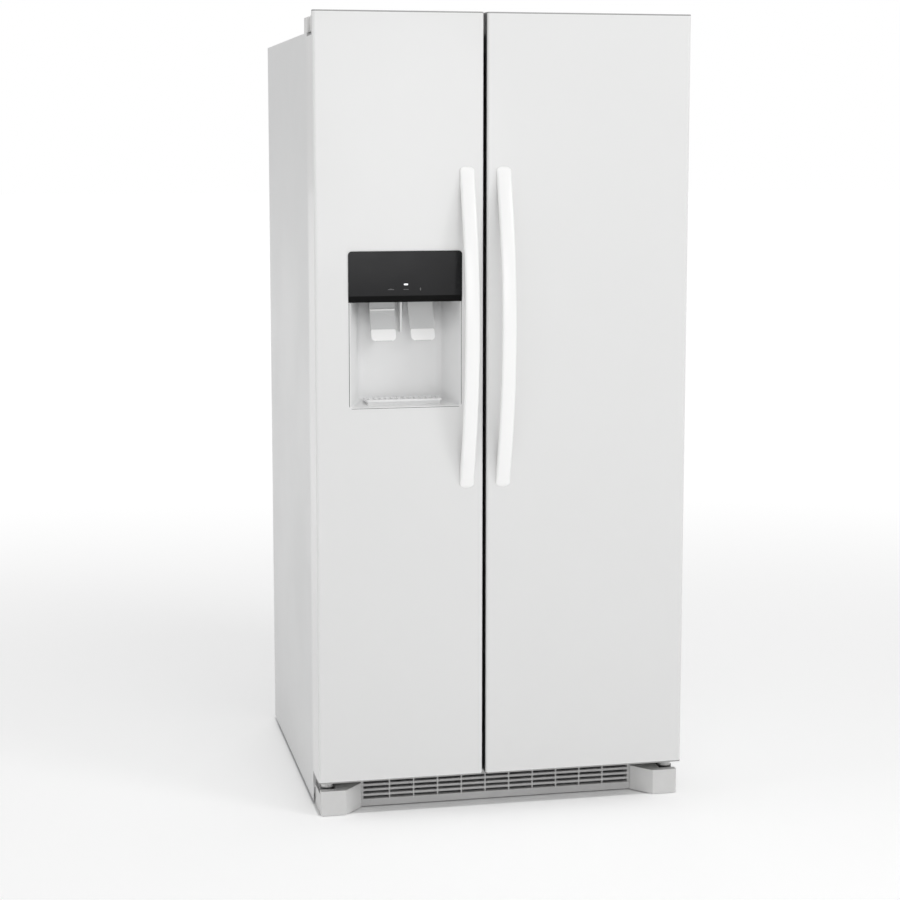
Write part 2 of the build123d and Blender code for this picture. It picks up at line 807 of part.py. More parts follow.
fresh_low = fresh_left + fitting_gap
fresh_high = inner_side - fitting_gap
fresh_mid = (fresh_left + inner_side) / 2
fresh_shelf_back = inner_back - fitting_gap
fresh_shelf_heights = (440.0, 720.0, 1000.0, 1290.0)
shelf_band = 18.0
with BuildPart() as shelf_frames:
    for z in fresh_shelf_heights:
        block((fresh_low, shelf_front, z), (fresh_high, fresh_shelf_back, z + shelf_band))
        block(
            (fresh_low + frame_bar, shelf_front + frame_bar, z),
            (fresh_high - frame_bar, fresh_shelf_back - frame_bar, z + shelf_band),
            mode=Mode.SUBTRACT,
        )
        ledge = 6.0
        block(
            (fresh_low + ledge, shelf_front + ledge, z + shelf_band - glass_thick),
            (fresh_high - ledge, fresh_shelf_back - ledge, z + shelf_band),
            mode=Mode.SUBTRACT,
        )
shelf_frames.part.label = "shelf_frames"
export_step(shelf_frames.part, "parts/shelf_frames.step")

with BuildPart() as shelf_glass:
    for z in fresh_shelf_heights:
        block(
            (fresh_low + ledge, shelf_front + ledge, z + shelf_band - glass_thick),
            (fresh_high - ledge, fresh_shelf_back - ledge, z + shelf_band),
        )
shelf_glass.part.label = "shelf_glass"
export_step(shelf_glass.part, "parts/shelf_glass.step")

drawer_places = (
    ("lower", inner_floor + fitting_gap, step_front - fitting_gap),
    ("upper", upper_drawer_z, fresh_shelf_back - 20),
)
for word, z, back in drawer_places:
    with BuildPart() as drawer:
        pull = 10.0
        front_thick = 6.0
        open_box(
            (fresh_low, shelf_front, z),
            (fresh_high, back, z + drawer_height),
            basket_wall,
            basket_wall,
        )
        block((fresh_low, shelf_front - front_thick, z), (fresh_high, shelf_front, z + drawer_height))
        block((fresh_mid - 90, shelf_front - front_thick - pull, z + drawer_height - 24),
              (fresh_mid + 90, shelf_front - front_thick, z + drawer_height - 20))
        block((fresh_mid - 90, shelf_front - front_thick - pull, z + drawer_height - 40),
              (fresh_mid + 90, shelf_front - front_thick - pull + 3, z + drawer_height - 20))
    drawer.part.label = f"crisper_drawer_{word}"
    export_step(drawer.part, f"parts/crisper_drawer_{word}.step")

with BuildPart() as light_housing:
    block(
        (fresh_mid - 110, shelf_front + 40, inner_top - 46),
        (fresh_mid + 110, shelf_front + 220, inner_top),
    )
    fillet(light_housing.edges().filter_by(Axis.Z), 12.0)
    for x in (-60, 60):
        post(fresh_mid + x, shelf_front + 90, inner_top - 58, inner_top - 46, 18)
light_housing.part.label = "light_housing"
export_step(light_housing.part, "parts/light_housing.step")

with BuildPart() as cabinet_screws:
    head = 5.0
    for side in (-1, 1):
        for x in (18, 44, 66):
            post(side * (cab_side - x), cab_front + 22, cab_top + bracket_sheet,
                 cab_top + bracket_sheet + 4, head)
        for z in (70, 86):
            rod_y(side * pin_x, cab_front - 2.5 - 0.75, z, 1.5, head)
cabinet_screws.part.label = "cabinet_screws"
export_step(cabinet_screws.part, "parts/cabinet_screws.step")


# ======== doors
# Each door is a steel pan over a foam core, closed by a plastic liner and two end caps.
# The hinge corner is notched at the top, where the hinge reaches in behind a front lip.

def door_reach(side, latch_x):
    """The door's X places, lowest first: its hinge edge is flush with the whole object's side."""
    return sorted((side * half_width, latch_x))


def door_body(x0, x1, inset, low, high, mode):
    """The door's volume between two heights, drawn in by a wall, its front corners round."""
    with BuildSketch(Plane.XY.offset(low)) as plan:
        with Locations((x0 + inset, door_front + inset)):
            Rectangle(x1 - x0 - 2 * inset, door_thick - inset, align=(Align.MIN, Align.MIN))
        fillet(plan.vertices().group_by(Axis.Y)[0], door_corner - inset)
    extrude(to_extrude=plan.sketch, amount=high - low, mode=mode)


def notch(side, grow, mode):
    """The hinge notch, grown by the cap's wall."""
    x0, x1 = span(side, half_width - notch_width - grow, half_width)
    block(
        (x0, door_front + lip_depth - grow, notch_z - grow),
        (x1, door_back, overall_height),
        mode=mode,
    )


def door_bushes(side, radius, mode):
    """Round places for the hinge pins, above the bottom edge and below the notch."""
    post(side * pin_x, pin_y, notch_z - bush_length, notch_z, radius, mode=mode)
    post(side * pin_x, pin_y, door_bottom, door_bottom + bush_length, radius, mode=mode)


def chute_duct(grow, front, back, mode):
    """The ice passage from the freezer to the dispenser, grown by its wall."""
    middle = dispenser_x - paddle_offset
    low = panel_bottom + chute_rise
    block(
        (middle - chute_width / 2 - grow, front, low - grow),
        (middle + chute_width / 2 + grow, back, low + chute_height + grow),
        mode=mode,
    )


def dispenser_block(mode):
    """The space that the dispenser housing takes in the door."""
    middle_z = dispenser_bottom + dispenser_height / 2
    with BuildSketch(Plane.XZ.offset(-door_front)) as face:
        with Locations((dispenser_x, middle_z)):
            RectangleRounded(dispenser_width, dispenser_height, panel_corner)
    extrude(to_extrude=face.sketch, amount=-housing_depth, mode=mode)


def ice_hopper():
    """A funnel on the freezer door's liner: open at the top, its floor sloping to the duct."""
    middle = dispenser_x - paddle_offset
    duct_low = panel_bottom + chute_rise - chute_wall
    hopper_top = ice_bin_z - hopper_drop
    hopper_end = door_back + hopper_depth
    half_inside = chute_width / 2 + chute_wall
    for wall, mode in ((chute_wall, Mode.ADD), (0.0, Mode.SUBTRACT)):
        half_span = half_inside + wall
        rim = 0.0 if wall else 1.0
        with BuildSketch(Plane.YZ.offset(middle - half_span)) as side_view:
            Polygon(
                (door_back, duct_low - wall),
                (hopper_end - chute_wall + wall, hopper_top - hopper_lip - wall),
                (hopper_end - chute_wall + wall, hopper_top + rim),
                (door_back, hopper_top + rim),
                align=None,
            )
        extrude(to_extrude=side_view.sketch, amount=2 * half_span, mode=mode)
    chute_duct(chute_wall, door_front + recess_depth, door_back, Mode.SUBTRACT)


door_facts = (
    ("freezer", -1, split_x - door_gap / 2),
    ("fresh_food", 1, split_x + door_gap / 2),
)
liner_top = notch_z - cap_wall
for word, side, latch_x in door_facts:
    x0, x1 = door_reach(side, latch_x)
    top = overall_height
    has_dispenser = word == "freezer"
    with BuildPart() as door_skin:
        door_body(x0, x1, 0.0, door_bottom + cap_wall, top - cap_wall, Mode.ADD)
        door_body(x0, x1, door_sheet, door_bottom, top, Mode.SUBTRACT)
        notch(side, cap_wall, Mode.SUBTRACT)
        if has_dispenser:
            dispenser_block(Mode.SUBTRACT)
    door_skin.part.label = f"{word}_door_skin"
    export_step(door_skin.part, f"parts/{word}_door_skin.step")

    with BuildPart() as door_foam:
        door_body(x0, x1, door_sheet, door_bottom + cap_wall, top - cap_wall, Mode.ADD)
        block((x0, door_back - door_liner_wall, door_bottom), (x1, door_back, top), mode=Mode.SUBTRACT)
        notch(side, cap_wall, Mode.SUBTRACT)
        door_bushes(side, bush_radius, Mode.SUBTRACT)
        if has_dispenser:
            dispenser_block(Mode.SUBTRACT)
            chute_duct(chute_wall, door_front + recess_depth, door_back, Mode.SUBTRACT)
    door_foam.part.label = f"{word}_door_foam"
    export_step(door_foam.part, f"parts/{word}_door_foam.step")

    with BuildPart() as door_caps:
        door_body(x0, x1, 0.0, top - cap_wall, top, Mode.ADD)
        door_body(x0, x1, 0.0, door_bottom, door_bottom + cap_wall, Mode.ADD)
        notch(side, cap_wall, Mode.ADD)
        block(
            (x0 + door_sheet, door_back - door_liner_wall, liner_top),
            (x1 - door_sheet, door_back, top),
        )
        door_bushes(side, bush_radius, Mode.ADD)
        notch(side, 0.0, Mode.SUBTRACT)
        door_bushes(side, pin_radius + pin_clearance, Mode.SUBTRACT)
    door_caps.part.label = f"{word}_door_caps"
    export_step(door_caps.part, f"parts/{word}_door_caps.step")

    # Gasket: a flat ring that closes on the cabinet's front flanges.
    hinge_edge = side * (half_width - gasket_hinge_inset)
    latch_edge = latch_x + side * gasket_latch_inset
    gasket_x = sorted((hinge_edge, latch_edge))
    gasket_z = (door_bottom + gasket_bottom_rise, cab_top - gasket_top_drop)
    with BuildPart() as door_gasket:
        back = cab_front - gasket_free
        block((gasket_x[0], door_back, gasket_z[0]), (gasket_x[1], back, gasket_z[1]))
        block(
            (gasket_x[0] + gasket_width, door_back, gasket_z[0] + gasket_width),
            (gasket_x[1] - gasket_width, back, gasket_z[1] - gasket_width),
            mode=Mode.SUBTRACT,
        )
    door_gasket.part.label = f"{word}_door_gasket"
    export_step(door_gasket.part, f"parts/{word}_door_gasket.step")

    # Door liner: a flat panel with two upright dykes that carry the bins. The latch side
    # dyke and the bins stop short, so that they clear the mullion as the door swings.
    wall_reach = abs(side * pin_x - (fresh_left if side > 0 else freezer_right))
    dyke_back = dyke_depth + door_thick - pin_from_front
    bin_back = door_fitting_reach + door_thick - pin_from_front
    dyke_reach = ((wall_reach - swing_room) ** 2 - dyke_back ** 2) ** 0.5
    bin_reach = ((wall_reach - swing_room) ** 2 - bin_back ** 2) ** 0.5
    hinge_dyke = pin_x - (inner_side - 14)
    dyke_low = 440.0
    dyke_high = inner_top - 30
    latch_dyke = bin_reach + 2 + dyke_width
    latch_dyke = min(latch_dyke, dyke_reach)
    with BuildPart() as door_liner:
        block(
            (x0 + door_sheet, door_back - door_liner_wall, door_bottom + cap_wall),
            (x1 - door_sheet, door_back, liner_top),
        )
        for near in (hinge_dyke, latch_dyke - dyke_width):
            a, b = sorted((side * (pin_x - near), side * (pin_x - near - dyke_width)))
            block((a, door_back, dyke_low), (b, door_back + dyke_depth, dyke_high))
        fillet(door_liner.edges().filter_by(Axis.Z).group_by(Axis.Y)[-1], 6.0)
        if has_dispenser:
            ice_hopper()
    door_liner.part.label = f"{word}_door_liner"
    export_step(door_liner.part, f"parts/{word}_door_liner.step")

    # Bins hang between the dykes, open at the top.
    bin_a, bin_b = sorted((
        side * (pin_x - hinge_dyke - dyke_width - 0.5),
        side * (pin_x - latch_dyke + dyke_width + 0.5),
    ))
    bin_heights = (450.0, 690.0, 1550.0) if has_dispenser else (450.0, 730.0, 1010.0)
    with BuildPart() as door_bins:
        for z in bin_heights:
            open_box(
                (bin_a, door_back, z),
                (bin_b, door_back + door_fitting_reach, z + bin_height),
                bin_wall,
                bin_wall,
            )
        if not has_dispenser:
            dairy_depth = dyke_depth - 12
            open_box(
                (bin_a, door_back, dairy_z),
                (bin_b, door_back + dairy_depth, dairy_z + 36),
                bin_wall,
                bin_wall,
            )
    door_bins.part.label = f"{word}_door_bins"
    export_step(door_bins.part, f"parts/{word}_door_bins.step")

    # Bowed handle: an arc with both ends landing on the door.
    handle_x = latch_x + side * handle_inset
    handle_top = handle_bottom + handle_length
    handle_mid = handle_bottom + handle_length / 2
    foot_run = 44.0
    with BuildPart() as handle:
        with BuildSketch(Plane.YZ.offset(handle_x - handle_width / 2)):
            with BuildLine():
                ThreePointArc(
                    (door_front, handle_bottom), (front_y, handle_mid), (door_front, handle_top)
                )
                Line((door_front, handle_top), (door_front, handle_top - foot_run))
                ThreePointArc(
                    (door_front, handle_top - foot_run),
                    (front_y + handle_thick, handle_mid),
                    (door_front, handle_bottom + foot_run),
                )
                Line((door_front, handle_bottom + foot_run), (door_front, handle_bottom))
            make_face()
        extrude(amount=handle_width)
        with BuildSketch(Plane.XZ.offset(-door_front)):
            with Locations((handle_x, handle_mid)):
                RectangleRounded(handle_width, handle_length, handle_end)
        extrude(amount=handle_stand, mode=Mode.INTERSECT)
    handle.part.label = f"{word}_handle"
    export_step(handle.part, f"parts/{word}_handle.step")


# ======== dispenser in the freezer door

housing_back = door_front + housing_depth
recess_back = door_front + recess_depth
with BuildPart() as dispenser_housing:
    dispenser_block(Mode.ADD)
    # The recess narrows towards its back wall.
    recess_low = dispenser_bottom + recess_wall
    recess_high = panel_bottom
    with BuildSketch(Plane.XZ.offset(-door_front)) as mouth:
        with Locations((dispenser_x, (recess_low + recess_high) / 2)):
            Rectangle(dispenser_width - 2 * recess_wall, recess_high - recess_low)
    back_low = recess_low + recess_floor_rise
    with BuildSketch(Plane.XZ.offset(-recess_back)) as rear:
        with Locations((dispenser_x, (back_low + recess_high) / 2)):
            Rectangle(recess_back_width, recess_high - back_low)
    loft(mode=Mode.SUBTRACT)
    # Space behind the control panel for the chute, the paddles' pivots and the water spout.
    block(
        (dispenser_x - cavity_width / 2, door_front + cavity_front, panel_bottom),
        (dispenser_x + cavity_width / 2, recess_back, panel_bottom + cavity_height),
        mode=Mode.SUBTRACT,
    )
    # Rebate for the panel.
    block(
        (dispenser_x - dispenser_width / 2, door_front, panel_bottom),
        (dispenser_x + dispenser_width / 2, door_front + panel_thick - panel_proud, dispenser_top),
        mode=Mode.SUBTRACT,
    )
    chute_duct(chute_wall, recess_back, door_back, Mode.ADD)
    chute_duct(0.0, recess_back - 1, door_back, Mode.SUBTRACT)
    # Flat seat for the drip tray, on the sloping floor.
    tray_seat = recess_low + recess_floor_rise
    seat_front = door_front + tray_front + tray_seat_inset
    block(
        (dispenser_x - tray_width / 2 + tray_seat_inset, seat_front, recess_low - 1),
        (dispenser_x + tray_width / 2 - tray_seat_inset, seat_front + tray_depth, tray_seat),
    )
    # Rib between the two paddles.
    block(
        (dispenser_x - 2, recess_back - 22, panel_bottom - 70),
        (dispenser_x + 2, recess_back, panel_bottom),
    )
dispenser_housing.part.label = "dispenser_housing"
export_step(dispenser_housing.part, "parts/dispenser_housing.step")

with BuildPart() as control_panel:
    panel_y = door_front - panel_proud
    band_slope = 2.5
    with BuildSketch(Plane.YZ.offset(dispenser_x - dispenser_width / 2)):
        Polygon(
            (panel_y, panel_bottom + panel_band),
            (panel_y, dispenser_top),
            (panel_y + panel_thick, dispenser_top),
            (panel_y + panel_thick, panel_bottom),
            (panel_y + band_slope, panel_bottom),
            align=None,
        )
    extrude(amount=dispenser_width)
    fillet(control_panel.edges().filter_by(Axis.Y).group_by(Axis.Z)[-1], panel_corner)
control_panel.part.label = "control_panel"
export_step(control_panel.part, "parts/control_panel.step")

pivot_y = door_front + paddle_pivot_depth
pivot_z = panel_bottom + paddle_pivot_rise
for word, hand in (("ice", -1), ("water", 1)):
    paddle_x = dispenser_x + hand * paddle_offset
    with BuildPart() as paddle:
        with BuildSketch(Plane.YZ.offset(paddle_x - paddle_width / 2)):
            with BuildLine():
                tip_y = pivot_y - paddle_lean
                tip_z = pivot_z - paddle_drop
                Polyline(
                    (pivot_y - paddle_sheet / 2, pivot_z + 3),
                    (pivot_y + paddle_sheet / 2, pivot_z + 3),
                    (pivot_y + paddle_sheet / 2 - 12, pivot_z - 60),
                    (tip_y + paddle_sheet, tip_z),
                    (tip_y, tip_z),
                    (pivot_y - paddle_sheet / 2 - 13, pivot_z - 60),
                    close=True,
                )
            make_face()
        extrude(amount=paddle_width)
        with BuildSketch(Plane.XZ.offset(-door_front)):
            with Locations((paddle_x, pivot_z - paddle_drop / 2 + 10)):
                RectangleRounded(paddle_width, paddle_drop + 20, 7)
        extrude(amount=-door_thick, mode=Mode.INTERSECT)
        rod_x(paddle_x, pivot_y, pivot_z, paddle_width + 8, paddle_axle)
    paddle.part.label = f"{word}_paddle"
    export_step(paddle.part, f"parts/{word}_paddle.step")

with BuildPart() as ice_chute_flap:
    flap_gap = 0.5
    flap_overlap = 4.0
    flap_thick = 3.0
    chute_low = panel_bottom + chute_rise
    flap_x = dispenser_x - paddle_offset
    flap_half = chute_width / 2 + flap_overlap
    flap_top = chute_low + chute_height + flap_overlap
    block(
        (flap_x - flap_half, recess_back - flap_gap - flap_thick, chute_low - flap_overlap),
        (flap_x + flap_half, recess_back - flap_gap, flap_top),
    )
ice_chute_flap.part.label = "ice_chute_flap"
export_step(ice_chute_flap.part, "parts/ice_chute_flap.step")

with BuildPart() as drip_tray:
    tray_z = tray_seat + 0.4
    front = door_front + tray_front
    block(
        (dispenser_x - tray_width / 2, front, tray_z),
        (dispenser_x + tray_width / 2, front + tray_depth, tray_z + tray_thick),
    )
    fillet(drip_tray.edges().filter_by(Axis.Z), 10.0)
    with Locations((dispenser_x, front + tray_depth / 2, tray_z + tray_thick)):
        with GridLocations(13, 1, 11, 1):
            Box(5, tray_depth - 16, 6, mode=Mode.SUBTRACT)
drip_tray.part.label = "drip_tray"
export_step(drip_tray.part, "parts/drip_tray.step")


# ======== dairy flap in the fresh food door

with BuildPart() as dairy_flap:
    hinge_y = door_back + dyke_depth - 6
    flap_left = bin_a + dairy_latch_inset
    flap_right = bin_b - 1
    block(
        (flap_left, hinge_y - 2, dairy_z + 2),
        (flap_right, hinge_y + 2, dairy_z + dairy_flap_height),
    )
    rod_x((flap_left + flap_right) / 2, hinge_y, dairy_z + dairy_flap_height, flap_right - flap_left, 4)
dairy_flap.part.label = "dairy_flap"
export_step(dairy_flap.part, "parts/dairy_flap.step")
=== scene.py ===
import bmesh
import bpy
import json
import math
import numpy as np
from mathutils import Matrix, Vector


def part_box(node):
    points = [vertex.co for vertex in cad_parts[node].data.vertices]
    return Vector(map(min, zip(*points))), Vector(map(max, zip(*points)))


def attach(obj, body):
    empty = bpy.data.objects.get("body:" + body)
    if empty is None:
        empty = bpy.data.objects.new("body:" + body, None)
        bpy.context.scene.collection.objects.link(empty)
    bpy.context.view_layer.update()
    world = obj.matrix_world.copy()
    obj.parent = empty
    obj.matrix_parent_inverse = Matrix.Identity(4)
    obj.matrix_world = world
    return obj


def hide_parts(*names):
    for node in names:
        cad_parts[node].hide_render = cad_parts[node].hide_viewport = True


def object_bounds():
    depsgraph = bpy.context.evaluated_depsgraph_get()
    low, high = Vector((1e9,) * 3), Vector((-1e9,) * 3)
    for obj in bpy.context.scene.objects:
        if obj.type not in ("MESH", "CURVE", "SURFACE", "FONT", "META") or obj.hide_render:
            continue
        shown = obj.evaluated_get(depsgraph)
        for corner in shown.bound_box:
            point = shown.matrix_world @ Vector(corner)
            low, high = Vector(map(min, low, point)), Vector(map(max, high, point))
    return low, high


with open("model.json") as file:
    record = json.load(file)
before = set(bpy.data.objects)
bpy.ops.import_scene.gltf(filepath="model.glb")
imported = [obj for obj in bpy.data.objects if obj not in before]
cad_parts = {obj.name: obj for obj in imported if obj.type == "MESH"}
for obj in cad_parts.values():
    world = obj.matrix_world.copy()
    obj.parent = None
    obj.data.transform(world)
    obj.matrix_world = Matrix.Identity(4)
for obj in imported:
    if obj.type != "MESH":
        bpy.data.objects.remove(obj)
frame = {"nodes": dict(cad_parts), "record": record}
cadLow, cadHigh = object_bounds()
print("frame loaded:", len(frame["nodes"]), "nodes")


# camera and studio

cameraPlan = {
    "place": (-1.032, -4.702, 1.486),
    "turn": 11.88,  # degrees to the right of straight ahead
    "tilt": 7.4,  # degrees downwards
    "lens": 80.9,
    "shiftY": -0.045,
}


def addCamera(plan):
    data = bpy.data.cameras.new("studioCamera")
    data.lens = plan["lens"]
    data.shift_y = plan["shiftY"]
    camera = bpy.data.objects.new("studioCamera", data)
    bpy.context.scene.collection.objects.link(camera)
    turn, tilt = math.radians(plan["turn"]), math.radians(plan["tilt"])
    look = Vector((
        math.sin(turn) * math.cos(tilt), math.cos(turn) * math.cos(tilt), -math.sin(tilt)
    ))
    camera.location = plan["place"]
    camera.rotation_mode = "QUATERNION"
    camera.rotation_quaternion = look.to_track_quat("-Z", "Y")
    bpy.context.scene.camera = camera


studioPlan = {
    "lamps": (
        # name, place, aim, size, watts
        ("keySoftbox", (3.0, -3.6, 3.2), (0.0, -0.3, 1.0), 1.6, 35.0),
        ("fillSoftbox", (-4.2, -0.4, 3.4), (-0.4, 0.1, 1.6), 2.2, 17.0),
        ("middleSoftbox", (0.10, -2.7, 1.5), (0.0, -0.35, 1.0), 0.9, 4.2),
        ("topSoftbox", (0.3, -2.0, 4.2), (0.0, -0.35, 1.2), 2.0, 17.0),
        ("backSoftbox", (0.6, 4.6, 2.6), (0.0, 0.3, 0.9), 3.0, 22.0),
    ),
    "air": (1.0, 1.0, 1.0),
    "airLight": 0.52,  # what the air gives the object
    "airSeen": 1.0,  # what the camera sees behind it
    "floorSize": 120.0,
    "floorColor": (0.93, 0.93, 0.93),
    "floorGlow": 0.24,
    "floorFade": (1.3, 4.5),  # metres from the middle over which it melts into the air
}


def addStudio(plan):
    for name, spot, aim, size, watts in plan["lamps"]:
        data = bpy.data.lights.new(name, "AREA")
        data.shape = "DISK"
        data.size = size
        data.energy = watts
        lamp = bpy.data.objects.new(name, data)
        bpy.context.scene.collection.objects.link(lamp)
        lamp.location = spot
        lamp.rotation_mode = "QUATERNION"
        lamp.rotation_quaternion = (Vector(aim) - Vector(spot)).to_track_quat("-Z", "Y")
    world = bpy.data.worlds.new("studioAir")
    world.use_nodes = True
    tree = world.node_tree
    tree.nodes.clear()
    lightAir = tree.nodes.new("ShaderNodeBackground")
    lightAir.inputs["Color"].default_value = (*plan["air"], 1.0)
    lightAir.inputs["Strength"].default_value = plan["airLight"]
    seenAir = tree.nodes.new("ShaderNodeBackground")
    seenAir.inputs["Color"].default_value = (*plan["air"], 1.0)
    seenAir.inputs["Strength"].default_value = plan["airSeen"]
    mixer = tree.nodes.new("ShaderNodeMixShader")
    rays = tree.nodes.new("ShaderNodeLightPath")
    tree.links.new(rays.outputs["Is Camera Ray"], mixer.inputs["Fac"])
    tree.links.new(lightAir.outputs[0], mixer.inputs[1])
    tree.links.new(seenAir.outputs[0], mixer.inputs[2])
    tree.links.new(mixer.outputs[0], tree.nodes.new("ShaderNodeOutputWorld").inputs["Surface"])
    bpy.context.scene.world = world
    half = plan["floorSize"] / 2
    mesh = bpy.data.meshes.new("studioFloor")
    corners = [(-half, -half, 0), (half, -half, 0), (half, half, 0), (-half, half, 0)]
    mesh.from_pydata(corners, [], [(0, 1, 2, 3)])
    floor = bpy.data.objects.new("studioFloor", mesh)
    bpy.context.scene.collection.objects.link(floor)
    material = bpy.data.materials.new("studioFloorPaint")
    material.use_nodes = True
    tree = material.node_tree
    shader = tree.nodes["Principled BSDF"]
    shader.inputs["Roughness"].default_value = 0.75
    shader.inputs["Specular IOR Level"].default_value = 0.1
    distance = tree.nodes.new("ShaderNodeVectorMath")
    distance.operation = "LENGTH"
    tree.links.new(tree.nodes.new("ShaderNodeTexCoord").outputs["Object"], distance.inputs[0])
    near, far = plan["floorFade"]
    paint = ramp(tree, distance.outputs["Value"], near, far, 1.0, 0.0)
    tree.links.new(mixColor(tree, paint, (0.0, 0.0, 0.0), plan["floorColor"]), shader.inputs["Base Color"])
    shader.inputs["Emission Color"].default_value = (*plan["air"], 1.0)
    glow = ramp(tree, distance.outputs["Value"], near, far, plan["floorGlow"], plan["airSeen"])
    under = place(tree, "inside", low=(-0.42, -0.36, -1.0), high=(0.42, 0.445, 1.0)).outputs["Mask"]
    glow = sums(tree, "MULTIPLY", glow, sums(tree, "SUBTRACT", 1.0, under))
    tree.links.new(glow, shader.inputs["Emission Strength"])
    mesh.materials.append(material)


bpy.context.scene.view_settings.view_transform = "Standard"
addCamera(cameraPlan)


# shader groups, each placed in many materials with its own values

def newGroup(name, inputs, outputs):
    tree = bpy.data.node_groups.new(name, "ShaderNodeTree")
    for socketName, kind, value in inputs:
        socket = tree.interface.new_socket(socketName, in_out="INPUT", socket_type=kind)
        socket.default_value = value
    for socketName in outputs:
        tree.interface.new_socket(socketName, in_out="OUTPUT", socket_type="NodeSocketFloat")
    return tree, tree.nodes.new("NodeGroupInput"), tree.nodes.new("NodeGroupOutput")


def feed(tree, socket, value):
    # A value is either another node's output or a plain number.
    if isinstance(value, bpy.types.NodeSocket):
        tree.links.new(value, socket)
    else:
        socket.default_value = value


def sums(tree, operation, *values):
    node = tree.nodes.new("ShaderNodeMath")
    node.operation = operation
    for socket, value in zip(node.inputs, values):
        feed(tree, socket, value)
    return node.outputs[0]


def ramp(tree, value, low, high, toLow=0.0, toHigh=1.0):
    node = tree.nodes.new("ShaderNodeMapRange")
    node.interpolation_type = "SMOOTHSTEP"
    node.inputs["From Min"].default_value = low
    node.inputs["From Max"].default_value = high
    node.inputs["To Min"].default_value = toLow
    node.inputs["To Max"].default_value = toHigh
    feed(tree, node.inputs["Value"], value)
    return node.outputs["Result"]


def noise(tree, vector, scale, detail=3.0, roughness=0.55):
    node = tree.nodes.new("ShaderNodeTexNoise")
    feed(tree, node.inputs["Scale"], scale)
    node.inputs["Detail"].default_value = detail
    node.inputs["Roughness"].default_value = roughness
    tree.links.new(vector, node.inputs["Vector"])
    return node.outputs["Fac"]


def objectPoint(tree):
    return tree.nodes.new("ShaderNodeTexCoord").outputs["Object"]


def makePaintPeel():
    # Fine pebbles of sprayed paint or moulded plastic, and a slow mottle far larger than them.
    tree, given, result = newGroup(
        "paintPeel",
        (("Scale", "NodeSocketFloat", 300.0), ("Mottle Scale", "NodeSocketFloat", 3.0)),
        ("Height", "Mottle"),
    )
    point = objectPoint(tree)
    fine = noise(tree, point, given.outputs["Scale"], 2.0, 0.5)
    coarseScale = sums(tree, "MULTIPLY", given.outputs["Scale"], 0.31)
    coarse = noise(tree, point, coarseScale, 1.0, 0.5)
    height = sums(tree, "ADD", sums(tree, "MULTIPLY", fine, 0.6), sums(tree, "MULTIPLY", coarse, 0.4))
    tree.links.new(height, result.inputs["Height"])
    mottle = ramp(tree, noise(tree, point, given.outputs["Mottle Scale"], 4.0), 0.3, 0.7)
    tree.links.new(mottle, result.inputs["Mottle"])
    return tree


def makeEdgeWear():
    # A point's distances to the box's faces, per axis: the middle one of the three is its
    # distance to the nearest edge. The mask fades over Width and is broken up by noise.
    tree, given, result = newGroup(
        "edgeWear",
        (
            ("Low", "NodeSocketVector", (0, 0, 0)),
            ("High", "NodeSocketVector", (1, 1, 1)),
            ("Width", "NodeSocketFloat", 0.004),
            ("Breakup", "NodeSocketFloat", 60.0),
        ),
        ("Mask",),
    )
    point = objectPoint(tree)
    spread = {}
    for key, source in (("point", point), ("low", given.outputs["Low"]), ("high", given.outputs["High"])):
        split = tree.nodes.new("ShaderNodeSeparateXYZ")
        tree.links.new(source, split.inputs[0])
        spread[key] = split.outputs
    gaps = []
    for axis in range(3):
        below = sums(tree, "ABSOLUTE", sums(tree, "SUBTRACT", spread["point"][axis], spread["low"][axis]))
        above = sums(tree, "ABSOLUTE", sums(tree, "SUBTRACT", spread["high"][axis], spread["point"][axis]))
        gaps.append(sums(tree, "MINIMUM", below, above))
    smaller = sums(tree, "MINIMUM", gaps[0], gaps[1])
    larger = sums(tree, "MAXIMUM", gaps[0], gaps[1])
    middle = sums(tree, "MAXIMUM", smaller, sums(tree, "MINIMUM", larger, gaps[2]))
    patchy = noise(tree, point, given.outputs["Breakup"], 4.0)
    reach = sums(tree, "MULTIPLY", given.outputs["Width"], sums(tree, "MULTIPLY", patchy, 2.0))
    share = sums(tree, "SUBTRACT", 1.0, sums(tree, "DIVIDE", middle, sums(tree, "MAXIMUM", reach, 0.0001)))
    tree.links.new(ramp(tree, share, 0.0, 0.7), result.inputs["Mask"])
    return tree


def makeSmudges():
    # Wiped fingerprints: stretched noise, kept only where a second noise is high.
    tree, given, result = newGroup("wipedSmudges", (("Scale", "NodeSocketFloat", 9.0),), ("Mask",))
    point = objectPoint(tree)
    wipe = tree.nodes.new("ShaderNodeMapping")
    wipe.inputs["Rotation"].default_value = (0.4, 0.7, 0.2)
    wipe.inputs["Scale"].default_value = (1.0, 1.0, 2.6)
    tree.links.new(point, wipe.inputs["Vector"])
    streaks = ramp(tree, noise(tree, wipe.outputs[0], given.outputs["Scale"], 6.0, 0.65), 0.42, 0.68)
    where = ramp(tree, noise(tree, point, sums(tree, "MULTIPLY", given.outputs["Scale"], 0.3)), 0.4, 0.62)
    tree.links.new(sums(tree, "MULTIPLY", streaks, where), result.inputs["Mask"])
    return tree


